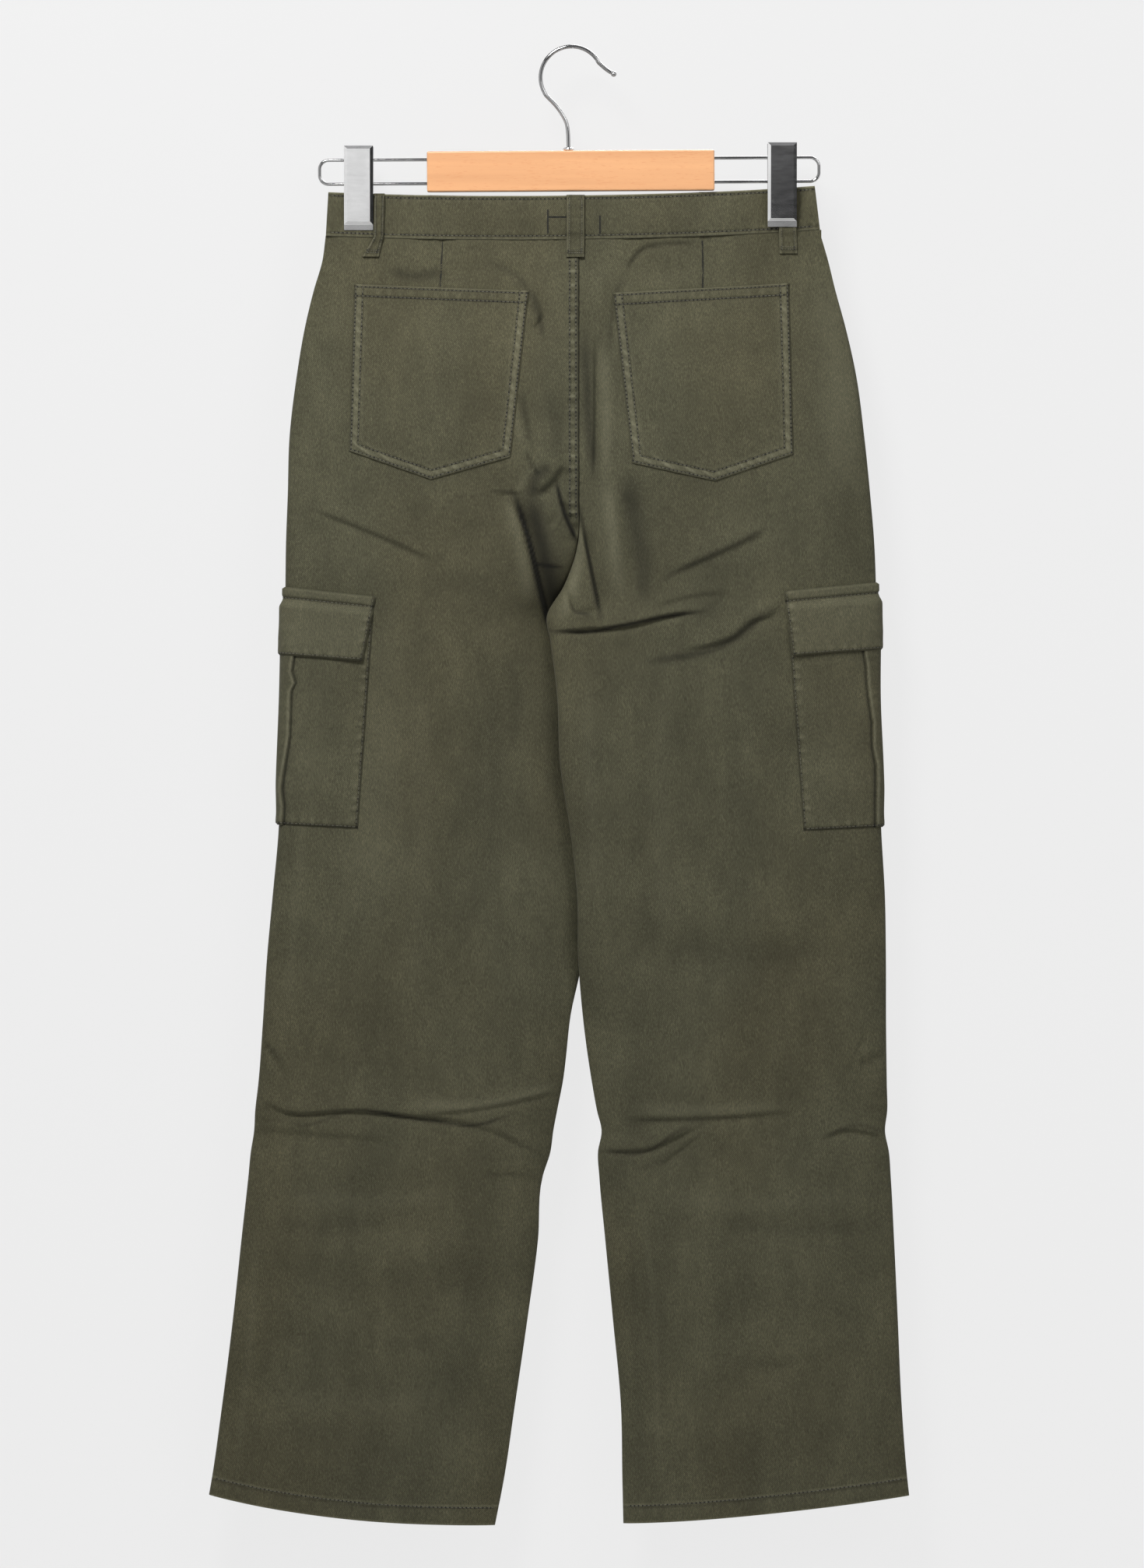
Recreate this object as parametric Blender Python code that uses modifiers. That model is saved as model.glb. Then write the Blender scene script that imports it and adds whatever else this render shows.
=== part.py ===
"""Cargo pants, clipped by the waistband to a wooden clip hanger.

The pants hang with their back towards -Y and the wearer's left side towards -X.
The origin is the top of the hook's inside, where a rail or a pin carries it.
All sizes are in millimetres, and MM turns them into metres in the meshes.
"""
import math

import bmesh
import bpy
from mathutils import Matrix

MM = 0.001

# Driving sizes -------------------------------------------------------------
PANEL_CLOTH = 1.3          # wall of the twill panels
BAND_CLOTH = 2.2           # wall of the waistband, which is two layers
LOOP_CLOTH = 1.6           # wall of a belt loop
FLAP_CLOTH = 1.5           # wall of a cargo flap
SEAM_GAP = 0.3             # space between two pieces that are sewn together
LIFT = 0.6                 # space under a piece that lies on a faceted panel
PANEL_COLUMNS = 11         # points across one panel
EDGE_DEPTH = PANEL_CLOTH + SEAM_GAP / 2     # half depth where two panels are sewn
LENS_POWER = 0.4           # how full the rounded sections are
FRONT_FULLNESS = 0.8       # the front hollow is shallower than the seat

CENTRE_SEAM = 4.2          # x of the centre back and centre front seams
BAND_HEIGHT = 34.0
BAND_FULL = 8.0            # half depth of the waistband at the middle
BAND_PINCHED = BAND_CLOTH + SEAM_GAP / 2    # half depth under the clips
BAND_END = 18.0            # x where the two ends of the waistband meet in front
BAND_REACH = 190.0         # x from which the waistband ends at its slanting side
BAND_ROUNDING = (24.0, 146.0)    # from the centre seam: fully round, and flat
BAND_SIDES = {"left": (-189.6, -1.9), "right": (187.2, 4.1)}    # x at the top, run to the bottom
WAIST_LEVEL = -108.6       # height of the waistband's top edge
WAIST_SLOPE = 0.0127       # how it leans, and how far it sags in the middle
WAIST_SAG = 5.2
WAIST_SAG_REACH = 189.0
BODY_BLEND = (-146.0, -262.0)    # z where the waist's flat sides become round
CROTCH_BLEND = (-316.0, -438.0)  # z where the seat divides into two legs

# Sections of the pants, from the waist seam to the hem.  Above the crotch the
# two inseam columns are the centre seam.  seat and leg are half depths.
SECTION_COLUMNS = ("z", "left_side", "left_inseam", "right_inseam", "right_side", "seat", "leg")
SECTION_ROWS = (
    (-146.0, -191.6, 4.2, 4.2, 191.4, 7.1, 7.1),
    (-164.0, -194.0, 4.2, 4.2, 196.6, 9.5, 9.5),
    (-186.0, -200.4, 4.2, 4.2, 202.0, 12.5, 12.5),
    (-216.0, -207.6, 4.2, 4.2, 210.2, 16.0, 16.0),
    (-252.0, -213.7, 4.2, 4.2, 218.2, 19.5, 19.0),
    (-300.0, -219.4, 4.2, 4.2, 224.6, 23.0, 21.0),
    (-345.0, -220.8, 4.2, 4.2, 229.2, 24.5, 22.0),
    (-384.0, -222.2, 3.0, 3.0, 232.4, 24.5, 22.0),
    (-416.0, -222.6, -8.0, -8.0, 233.6, 23.5, 22.0),
    (-438.0, -222.8, -20.6, -20.6, 234.0, 22.5, 21.5),
    (-458.0, -223.0, -18.0, -18.0, 233.8, 21.5, 21.0),
    (-500.0, -223.9, -12.8, -12.8, 233.6, 20.0, 20.0),
    (-552.0, -225.9, -10.6, -10.6, 235.8, 18.5, 18.5),
    (-606.0, -228.0, -2.4, -2.4, 237.8, 17.0, 17.0),
    (-654.0, -232.4, 2.6, 2.6, 240.5, 16.5, 16.5),
    (-702.0, -236.8, 3.3, 3.5, 241.3, 16.0, 16.0),
    (-752.0, -240.0, -3.0, 7.6, 241.4, 15.5, 15.5),
    (-800.0, -243.6, -8.6, 14.4, 242.0, 15.5, 15.5),
    (-820.0, -245.9, -12.6, 18.0, 242.3, 14.5, 14.5),
    (-836.0, -246.8, -15.6, 21.6, 240.6, 13.5, 13.5),
    (-852.0, -249.3, -17.8, 18.8, 243.6, 14.5, 14.5),
    (-871.0, -251.2, -23.8, 19.8, 245.0, 15.5, 15.5),
    (-920.0, -256.6, -27.4, 24.4, 247.6, 15.5, 15.5),
    (-980.0, -263.0, -35.4, 30.2, 250.4, 15.0, 15.0),
    (-1050.0, -271.8, -45.6, 36.6, 253.6, 14.5, 14.5),
    (-1104.0, -279.4, -53.6, 37.6, 257.8, 14.0, 14.0),
    (-1140.0, -286.0, -60.6, 38.4, 262.0, 13.5, 13.5),
)
SECTIONS = [dict(zip(SECTION_COLUMNS, row)) for row in SECTION_ROWS]

# The hem of each leg rises from the inseam to the side as rise * across ** power.
HEM_COLUMNS = ("side", "z_inseam", "rise", "power")
HEM_ROWS = (
    ("left", -1140.0, 23.4, 2.3),
    ("right", -1138.6, 21.4, 1.5),
)
HEMS = {row[0]: dict(zip(HEM_COLUMNS, row)) for row in HEM_ROWS}

# The largest folds of the back: troughs from one end to the other.
FOLD_COLUMNS = ("x_start", "z_start", "x_end", "z_end", "half_width", "depth")
FOLD_ROWS = (
    (-202.0, -356.0, -104.0, -398.0, 20.0, 2.0),
    (-42.0, -366.0, -22.0, -436.0, 16.0, 3.0),
    (-8.0, -448.0, 104.0, -436.0, 16.0, 3.0),
    (88.0, -466.0, 162.0, -426.0, 16.0, 2.0),
    (-242.0, -811.0, -74.0, -829.0, 18.0, 4.0),
    (48.0, -827.0, 174.0, -820.0, 18.0, 3.5),
    (20.0, -850.0, 100.0, -829.0, 16.0, 2.5),
)
FOLDS = [dict(zip(FOLD_COLUMNS, row)) for row in FOLD_ROWS]
FOLD_RUN_OUT = 20.0              # how far a fold runs out beyond its ends
FOLD_RUN_IN = 25.0               # how far inside them it has its full depth
FOLD_ROOM = 8.0                  # folds fade where the hollow is less full than this

# Patch pockets on the seat: x and z of the five corners.
PATCH_COLUMNS = ("side", "inner_top", "outer_top", "inner_low", "point", "outer_low")
PATCH_ROWS = (
    ("left", (-34.2, -187.6), (-169.6, -182.0), (-48.2, -316.2), (-109.8, -333.6), (-173.3, -311.4)),
    ("right", (30.0, -189.2), (166.6, -181.2), (45.2, -321.0), (108.7, -334.7), (169.8, -313.8)),
)
PATCHES = [dict(zip(PATCH_COLUMNS, row)) for row in PATCH_ROWS]
PATCH_CELLS = (8, 6)

# Cargo pockets and flaps lie over the side seams.  The x columns are the edge
# that lies on the panels, and the z columns give it there and at the side.
CARGO_COLUMNS = ("name", "side", "x_top", "z_top", "z_top_side", "x_low", "z_low", "z_low_side")
CARGO_ROWS = (
    ("cargo_pocket_left", "left", -154.2, -438.0, -430.0, -166.2, -602.6, -599.4),
    ("cargo_pocket_right", "right", 164.4, -434.0, -427.0, 177.3, -604.2, -601.2),
    ("cargo_flap_left", "left", -152.1, -423.6, -415.8, -162.6, -473.4, -468.6),
    ("cargo_flap_right", "right", 162.0, -419.4, -412.2, 168.6, -469.4, -464.4),
)
CARGO_PIECES = [dict(zip(CARGO_COLUMNS, row)) for row in CARGO_ROWS]
CARGO_COLUMNS_EACH_WAY = 6
POCKET_ROWS = (0.0, 0.12, 0.26, 0.42, 0.60, 0.80, 1.0)
FLAP_ROWS = (0.0, 0.16, 0.58, 1.0)

# Belt loops: the two edges at the top, at the band's lower edge and at the end.
LOOP_COLUMNS = ("name", "face", "top", "bend", "low", "z_low", "stand")
LOOP_ROWS = (
    ("belt_loop_back", "back", (-5.4, 8.6), (-5.4, 8.6), (-5.8, 8.4), -161.4, 1.2),
    ("belt_loop_left_back", "back", (-154.2, -145.8), (-154.2, -146.6), (-163.2, -150.0), -160.8, 0.6),
    ("belt_loop_right_back", "back", (158.0, 172.0), (158.4, 172.4), (158.8, 173.2), -158.4, 0.0),
    ("belt_loop_left_front", "front", (-103.0, -89.0), (-103.0, -89.0), (-103.0, -89.0), -161.0, 1.0),
    ("belt_loop_right_front", "front", (97.0, 111.0), (97.0, 111.0), (97.0, 111.0), -160.0, 1.0),
)
BELT_LOOPS = [dict(zip(LOOP_COLUMNS, row)) for row in LOOP_ROWS]
LOOP_OVER_TOP = 0.3              # how far a loop stands up over the band's top
LOOP_BEND = 1.0                  # height of its bend over the band's lower edge
LOOP_FOOT = 5.5                  # drop from the bend to where it lies flat again
LOOP_BEND_STAND = 0.4            # share of its stand that is left at the bend
LOOP_FOOT_STAND = 0.2

# Hanger --------------------------------------------------------------------
HANGER_CENTRE = (-2.2, -94.7)    # x and z of the wooden bar's middle
HANGER_TILT = math.radians(-0.35)
BAR_SIZE = (222.0, 13.0, 31.2)
BAR_ROUNDING = 1.2
RAIL_WIRE = 1.2                  # radius of the rail wire
RAIL_HEIGHTS = (9.4, -9.1)       # the two wires, from the bar's middle
RAIL_ENDS = {"left": -194.0, "right": 191.8}
RAIL_CORNER = 7.0
RAIL_CORNER_STEPS = 4
RAIL_SEAT = 12.0                 # how far the wire goes into the bar
HOOK_WIRE = 1.5
HOOK_ARC_RADIUS = 24.0
HOOK_ARC_CENTRE = (-1.5, -22.5)
HOOK_ARC = (28.0, 216.0)         # degrees, from the open end over the top
HOOK_TIP = ((31.0, -19.8), (25.8, -16.6))
HOOK_NECK = ((-12.8, -45.2), (-6.4, -55.4), (-4.4, -64.0), (-3.9, -78.0))
HOOK_SEAT = 14.0                 # how far the stem goes into the bar
HOOK_BALL = 2.1
HOOK_STEPS = 12
HOOK_SMOOTHING = 2
COLLAR_RADIUS = 4.2              # ring at the foot of the stem
COLLAR_HEIGHT = 2.2
COLLAR_CHAMFER = 0.8
HOLE_GAP = 0.3                   # space round a wire in its hole

CLIP_WIDTH = 22.4
CLIP_HEIGHT = 64.8
CLIP_WALL = 1.0
CLIP_SPREAD = 7.4                # how far a plate leans out towards its top
CLIP_LIP = 4.0                   # height of the bevelled lower lip
CLIP_LIP_EDGE = 0.5              # thickness at the lip's tip
CLIP_TOP = 2.0                   # width of the plate's top edge
FLANGE_SLANT = 9.0               # drop of the flanges' top towards the rail
HOLLOW_BEYOND = (-6.0, 2.0)      # how far the hollow's cutter passes the flanges
CUT_STEP = 0.1                   # how far a cutter goes into a plate
FLANGE_EDGE = 1.7                # how near a flange comes to the rail's plane
FLANGE_START = 1.2               # flange clearance over the waistband's top
SPRING_RADIUS = 4.0
CLIP_COLUMNS = ("side", "x", "z_low", "over_loop")
CLIP_ROWS = (
    ("left", -166.0, -140.4, 0.0),
    ("right", 161.1, -138.0, LOOP_CLOTH + LIFT),
)
CLIPS = [dict(zip(CLIP_COLUMNS, row)) for row in CLIP_ROWS]

BUTTON_RADIUS = 8.5
BUTTON_HEIGHT = 3.0
BUTTON_TAPER = 1.2
BUTTON_X = 9.0

SHARP_ANGLE = math.radians(40.0)
WELD = 0.01                      # points nearer than this are one
SPIN_STEPS = 20
SHADES = {
    "twill": ((0.070, 0.068, 0.042, 1.0), 0.90, 0.0),
    "band": ((0.080, 0.078, 0.050, 1.0), 0.90, 0.0),
    "wood": ((0.870, 0.470, 0.230, 1.0), 0.45, 0.0),
    "chrome": ((0.750, 0.750, 0.760, 1.0), 0.12, 1.0),
    "button": ((0.060, 0.055, 0.045, 1.0), 0.40, 0.0),
}


# Form of the cloth ---------------------------------------------------------
def smooth(low, high, value):
    """Rise smoothly from 0 at low to 1 at high, in either direction."""
    share = min(1.0, max(0.0, (value - low) / (high - low)))
    return share * share * (3.0 - 2.0 * share)


def section(z, column):
    """Read one column of the section table at height z."""
    if z >= SECTIONS[0]["z"]:
        return SECTIONS[0][column]
    for upper, lower in zip(SECTIONS, SECTIONS[1:]):
        if z >= lower["z"]:
            share = (z - upper["z"]) / (lower["z"] - upper["z"])
            return upper[column] + share * (lower[column] - upper[column])
    return SECTIONS[-1][column]


def waist_line(x):
    """Height of the waistband's top edge, which sags between the clips."""
    return WAIST_LEVEL + WAIST_SLOPE * x - WAIST_SAG * (1.0 - (x / WAIST_SAG_REACH) ** 2)


def band_side(side, z):
    """x of the waistband's end at the side, which leans out downwards."""
    share = (waist_line(0.0) - z) / BAND_HEIGHT
    top_x, run = BAND_SIDES[side]
    return top_x + run * share


def band_shape(x):
    """Fullness of the waist: 1 at the middle, 0 from the clips outwards."""
    return 1.0 - smooth(*BAND_ROUNDING, abs(x - CENTRE_SEAM))


def band_depth(x):
    """Outer half depth of the waistband at x."""
    return BAND_PINCHED + (BAND_FULL - BAND_PINCHED) * band_shape(x)


def rounded(x, inner, outer):
    """Fullness of a round section whose edges are at inner and outer."""
    middle = 0.5 * (inner + outer)
    across = (x - middle) / (0.5 * (outer - inner))
    return max(0.0, 1.0 - across * across) ** LENS_POWER


def fold_depth(x, z):
    """Depth of the back's large folds at a point."""
    total = 0.0
    for fold in FOLDS:
        run_x = fold["x_end"] - fold["x_start"]
        run_z = fold["z_end"] - fold["z_start"]
        length = math.hypot(run_x, run_z)
        along = ((x - fold["x_start"]) * run_x + (z - fold["z_start"]) * run_z) / length
        away = ((x - fold["x_start"]) * run_z - (z - fold["z_start"]) * run_x) / length
        start = smooth(-FOLD_RUN_OUT, FOLD_RUN_IN, along)
        end = smooth(length + FOLD_RUN_OUT, length - FOLD_RUN_IN, along)
        total += fold["depth"] * start * end * math.exp(-((away / fold["half_width"]) ** 2))
    return total


def cloth_depth(face, x, z):
    """Outer half depth of the pants at a point of the back or the front."""
    side = "left" if x < section(z, "left_inseam") + 0.01 else "right"
    seat_round = rounded(x, section(z, "left_side"), section(z, "right_side"))
    leg_round = rounded(x, section(z, side + "_inseam"), section(z, side + "_side"))
    legs = smooth(*CROTCH_BLEND, z)
    roundness = (1.0 - legs) * seat_round + legs * leg_round
    body = smooth(*BODY_BLEND, z)
    roundness = (1.0 - body) * band_shape(x) + body * roundness
    depth = (1.0 - legs) * section(z, "seat") + legs * section(z, "leg")
    if face == "front":
        depth *= 1.0 - body * (1.0 - FRONT_FULLNESS)
    full = max(0.0, depth - EDGE_DEPTH) * roundness
    if face == "back":
        full = max(0.0, full - fold_depth(x, z) * min(1.0, full / FOLD_ROOM))
    return EDGE_DEPTH + full


def outward(face):
    """Direction of a face along Y."""
    return -1.0 if face == "back" else 1.0


def offset(path, distance, flat_ends=False):
    """Move the points (x, y, z) of a level path to its left side."""
    moved = []
    last = len(path) - 1
    for index, (x, y, z) in enumerate(path):
        before = path[max(0, index - 1)]
        after = path[min(last, index + 1)]
        if index in (0, last):
            steps = [(after[0] - before[0], after[1] - before[1])]
        else:
            steps = [(x - before[0], y - before[1]), (after[0] - x, after[1] - y)]
        units = [(a / math.hypot(a, b), b / math.hypot(a, b)) for a, b in steps]
        normal = (-sum(unit[1] for unit in units), sum(unit[0] for unit in units))
        if flat_ends and index in (0, last):
            normal = (0.0, 1.0 if normal[1] > 0.0 else -1.0)
        size = math.hypot(*normal)
        miter = (normal[0] * -units[0][1] + normal[1] * units[0][0]) / size
        if flat_ends and index in (0, last):
            miter = 1.0
        step = distance / (size * max(0.5, miter))
        moved.append((x + normal[0] * step, y + normal[1] * step, z))
    return moved


# Scene helpers -------------------------------------------------------------
def clear_scene():
    """Remove every object of the open scene."""
    for old in list(bpy.data.objects):
        bpy.data.objects.remove(old, do_unlink=True)


def collection(name):
    """Make a collection in the scene."""
    made = bpy.data.collections.new(name)
    bpy.context.scene.collection.children.link(made)
    return made


def finish_material(name, shade):
    """Make a Principled material for one object."""
    color, roughness, metallic = SHADES[shade]
    material = bpy.data.materials.new(name + "_finish")
    material.use_nodes = True
    shader = material.node_tree.nodes["Principled BSDF"]
    shader.inputs["Base Color"].default_value = color
    shader.inputs["Roughness"].default_value = roughness
    shader.inputs["Metallic"].default_value = metallic
    return material


def add_mesh(name, mesh, shade, home, parent=None):
    """Put a mesh into the scene as a named object with its own material."""
    mesh.name = name
    made = bpy.data.objects.new(name, mesh)
    made.data.materials.clear()
    made.data.materials.append(finish_material(name, shade))
    home.objects.link(made)
    made.parent = parent
    return made


def bmesh_to_mesh(shape, name):
    """Turn a bmesh into mesh data with its faces pointing out."""
    bmesh.ops.recalc_face_normals(shape, faces=shape.faces)
    mesh = bpy.data.meshes.new(name)
    shape.to_mesh(mesh)
    shape.free()
    return mesh


def curve_to_mesh(curve_object):
    """Replace a curve object by its welded mesh data, in world space."""
    graph = bpy.context.evaluated_depsgraph_get()
    mesh = bpy.data.meshes.new_from_object(curve_object.evaluated_get(graph))
    mesh.transform(curve_object.matrix_world)
    bpy.data.objects.remove(curve_object, do_unlink=True)
    shape = bmesh.new()
    shape.from_mesh(mesh)
    bmesh.ops.remove_doubles(shape, verts=shape.verts, dist=WELD * MM)
    bpy.data.meshes.remove(mesh)
    return bmesh_to_mesh(shape, "curve")


def wall(name, outer, inner, shade, home):
    """Make a closed wall between two grids of points of the same size."""
    shape = bmesh.new()
    rows, columns = len(outer), len(outer[0])
    grids = []
    for grid in (outer, inner):
        grids.append([[shape.verts.new((x * MM, y * MM, z * MM)) for x, y, z in row] for row in grid])
    for row in range(rows - 1):
        for column in range(columns - 1):
            for grid in grids:
                shape.faces.new((grid[row][column], grid[row][column + 1],
                                 grid[row + 1][column + 1], grid[row + 1][column]))
    rim = [(0, column) for column in range(columns)]
    rim += [(row, columns - 1) for row in range(1, rows)]
    rim += [(rows - 1, column) for column in range(columns - 2, -1, -1)]
    rim += [(row, 0) for row in range(rows - 2, 0, -1)]
    for here, there in zip(rim, rim[1:] + rim[:1]):
        shape.faces.new((grids[0][here[0]][here[1]], grids[0][there[0]][there[1]],
                         grids[1][there[0]][there[1]], grids[1][here[0]][here[1]]))
    made = add_mesh(name, bmesh_to_mesh(shape, name), shade, home)
    made.data.shade_smooth()
    made.data.set_sharp_from_angle(angle=SHARP_ANGLE)
    return made


def layers(paths, low, high, flat_ends=False):
    """Give the outer and inner grids of a piece that lies on level paths."""
    outer = [offset(path, high, flat_ends) for path in paths]
    inner = [offset(path, low, flat_ends) for path in paths]
    return outer, inner


# Cloth pieces --------------------------------------------------------------
def across_shares(count):
    """Shares from 0 to 1, closer together at both ends."""
    return [0.5 - 0.5 * math.cos(math.pi * index / (count - 1)) for index in range(count)]


def panel_paths(face, side):
    """Level paths of one panel, from the waist seam to the hem."""
    hem = HEMS[side]
    own_side = 1.0 if side == "right" else -1.0
    levels = [row["z"] for row in SECTIONS[:-1]] + [None]
    paths = []
    for index, level in enumerate(levels):
        path = []
        for share in across_shares(PANEL_COLUMNS):
            z = level
            if index == 0:
                x = CENTRE_SEAM + share * (section(level, side + "_side") - CENTRE_SEAM)
                z = waist_line(x) - BAND_HEIGHT - SEAM_GAP
            if level is None:
                z = hem["z_inseam"] + hem["rise"] * share ** hem["power"]
            inseam = section(z, side + "_inseam") + own_side * SEAM_GAP / 2
            x = inseam + share * (section(z, side + "_side") - inseam)
            path.append((x, outward(face) * cloth_depth(face, x, z), z))
        if (face == "back") == (side == "right"):
            path.reverse()
        paths.append(path)
    return paths


def build_panels(home):
    """Make the two back and the two front panels."""
    for face in ("back", "front"):
        for side in ("left", "right"):
            outer, inner = layers(panel_paths(face, side), -PANEL_CLOTH, 0.0, flat_ends=True)
            wall(f"{face}_{side}", outer, inner, "twill", home)


def band_paths(face, x_from, x_to, columns):
    """Level paths of a stretch of waistband, on its outer side."""
    paths = []
    for drop in (0.0, 0.5, 1.0):
        path = []
        for share in across_shares(columns):
            x = x_from + share * (x_to - x_from)
            z = waist_line(x) - drop * BAND_HEIGHT
            if abs(x) > BAND_REACH - WELD:
                x = band_side("left" if x < 0.0 else "right", z)
            path.append((x, outward(face) * band_depth(x), z))
        path.sort(key=lambda point: point[0], reverse=face == "back")
        paths.append(path)
    return paths


def build_waistband(home):
    """Make the waistband: one back stretch and two front ones."""
    stretches = (
        ("waistband_back", "back", -BAND_REACH, BAND_REACH, 21),
        ("waistband_front_left", "front", -BAND_REACH, BAND_END - SEAM_GAP / 2, 13),
        ("waistband_front_right", "front", BAND_END + SEAM_GAP / 2, BAND_REACH, 11),
    )
    for name, face, x_from, x_to, columns in stretches:
        outer, inner = layers(band_paths(face, x_from, x_to, columns), -BAND_CLOTH, 0.0, flat_ends=True)
        wall(name, outer, inner, "band", home)


def between(start, end, share):
    """Point between two points of the same length."""
    return tuple(a + share * (b - a) for a, b in zip(start, end))


def build_belt_loops(home):
    """Make the belt loops, which reach from the band's top to below it."""
    for loop in BELT_LOOPS:
        bend_z = waist_line(sum(loop["bend"]) / 2) - BAND_HEIGHT + LOOP_BEND
        top_z = waist_line(sum(loop["top"]) / 2) + LOOP_OVER_TOP
        rows = (
            (top_z, loop["top"], 0.0),
            (0.5 * (top_z + bend_z), loop["top"], loop["stand"]),
            (bend_z, loop["bend"], LOOP_BEND_STAND * loop["stand"]),
            (bend_z - LOOP_FOOT, between(loop["bend"], loop["low"], 0.5), LOOP_FOOT_STAND),
            (loop["z_low"], loop["low"], 0.0),
        )
        paths = []
        for z, (x_left, x_right), stand in rows:
            path = []
            for share in (0.0, 0.5, 1.0):
                x = x_left + share * (x_right - x_left)
                depth = max(band_depth(x), cloth_depth(loop["face"], x, z)) + stand
                path.append((x, outward(loop["face"]) * depth, z))
            if loop["face"] == "back":
                path.reverse()
            paths.append(path)
        outer, inner = layers(paths, LIFT, LIFT + LOOP_CLOTH)
        wall(loop["name"], outer, inner, "band", home)


def build_back_pockets(home):
    """Make the pointed patch pockets on the seat."""
    across, down = PATCH_CELLS
    for patch in PATCHES:
        paths = []
        for row in range(down + 1):
            path = []
            for column in range(across + 1):
                share = column / across
                top = between(patch["inner_top"], patch["outer_top"], share)
                if share <= 0.5:
                    low = between(patch["inner_low"], patch["point"], 2.0 * share)
                else:
                    low = between(patch["point"], patch["outer_low"], 2.0 * share - 1.0)
                x, z = between(top, low, row / down)
                path.append((x, -cloth_depth("back", x, z), z))
            path.sort(key=lambda point: -point[0])
            paths.append(path)
        outer, inner = layers(paths, LIFT, LIFT + PANEL_CLOTH)
        wall("back_pocket_" + patch["side"], outer, inner, "twill", home)


def wrap_path(piece, drop):
    """Level path round the side seam, at a share of the piece's height."""
    count = CARGO_COLUMNS_EACH_WAY
    halves = {}
    for face in ("back", "front"):
        half = []
        for index in range(count):
            share = math.sin(0.5 * math.pi * index / (count - 1))
            z_top = piece["z_top"] + share * (piece["z_top_side"] - piece["z_top"])
            z_low = piece["z_low"] + share * (piece["z_low_side"] - piece["z_low"])
            z = z_top + drop * (z_low - z_top)
            edge = piece["x_top"] + drop * (piece["x_low"] - piece["x_top"])
            x = edge + share * (section(z, piece["side"] + "_side") - edge)
            half.append((x, outward(face) * cloth_depth(face, x, z), z))
        halves[face] = half
    if piece["side"] == "left":
        return halves["back"] + halves["front"][::-1]
    return halves["front"] + halves["back"][::-1]


def build_cargo_pieces(home):
    """Make the cargo pockets and the flaps that lie over their mouths."""
    over_pocket = LIFT + PANEL_CLOTH + LIFT
    for piece in CARGO_PIECES:
        is_flap = "flap" in piece["name"]
        cloth = FLAP_CLOTH if is_flap else PANEL_CLOTH
        outer, inner = [], []
        for drop in FLAP_ROWS if is_flap else POCKET_ROWS:
            lift = over_pocket if is_flap and drop > 0.0 else LIFT
            path = wrap_path(piece, drop)
            outer.append(offset(path, lift + cloth))
            inner.append(offset(path, lift))
        wall(piece["name"], outer, inner, "twill", home)


def build_button(home):
    """Make the waistband's button, on the front end that lies on top."""
    z = waist_line(BUTTON_X) - BAND_HEIGHT / 2
    shape = bmesh.new()
    bmesh.ops.create_cone(shape, cap_ends=True, segments=24, radius1=BUTTON_RADIUS * MM,
                          radius2=(BUTTON_RADIUS - BUTTON_TAPER) * MM, depth=BUTTON_HEIGHT * MM)
    made = add_mesh("waist_button", bmesh_to_mesh(shape, "waist_button"), "button", home)
    y = band_depth(BUTTON_X) + SEAM_GAP + BUTTON_HEIGHT / 2
    made.location = (BUTTON_X * MM, y * MM, z * MM)
    made.rotation_euler = (-math.pi / 2, 0.0, 0.0)
    made.data.shade_smooth()
    made.data.set_sharp_from_angle(angle=SHARP_ANGLE)


# Hanger pieces -------------------------------------------------------------
def wire(name, points, radius, home, parent=None):
    """Make a round wire through points (x, z) in the plane y = 0."""
    curve = bpy.data.curves.new(name, "CURVE")
    curve.dimensions = "3D"
    curve.bevel_depth = radius * MM
    curve.bevel_resolution = 2
    curve.use_fill_caps = True
    spline = curve.splines.new("POLY")
    spline.points.add(len(points) - 1)
    for spot, (x, z) in zip(spline.points, points):
        spot.co = (x * MM, 0.0, z * MM, 1.0)
    made = bpy.data.objects.new(name, curve)
    made.data.materials.append(finish_material(name, "chrome"))
    home.objects.link(made)
    made.parent = parent
    return made


def arc(centre, radius, start, end, steps):
    """Points of an arc in the plane y = 0, angles in degrees from +X."""
    points = []
    for index in range(steps + 1):
        angle = math.radians(start + (end - start) * index / steps)
        points.append((centre[0] + radius * math.cos(angle), centre[1] + radius * math.sin(angle)))
    return points


def smoothed(points, steps):
    """Catmull-Rom curve through points (x, z)."""
    ends = [points[0], *points, points[-1]]
    made = []
    for a, b, c, d in zip(ends, ends[1:], ends[2:], ends[3:]):
        for index in range(steps):
            t = index / steps
            made.append(tuple(0.5 * (2 * b[k] + (c[k] - a[k]) * t
                                     + (2 * a[k] - 5 * b[k] + 4 * c[k] - d[k]) * t * t
                                     + (3 * b[k] - a[k] - 3 * c[k] + d[k]) * t ** 3) for k in (0, 1)))
    made.append(points[-1])
    return made


def bar_top(x):
    """Height of the tilted bar's top at x."""
    return HANGER_CENTRE[1] + BAR_SIZE[2] / 2 - (x - HANGER_CENTRE[0]) * math.tan(HANGER_TILT)


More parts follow.
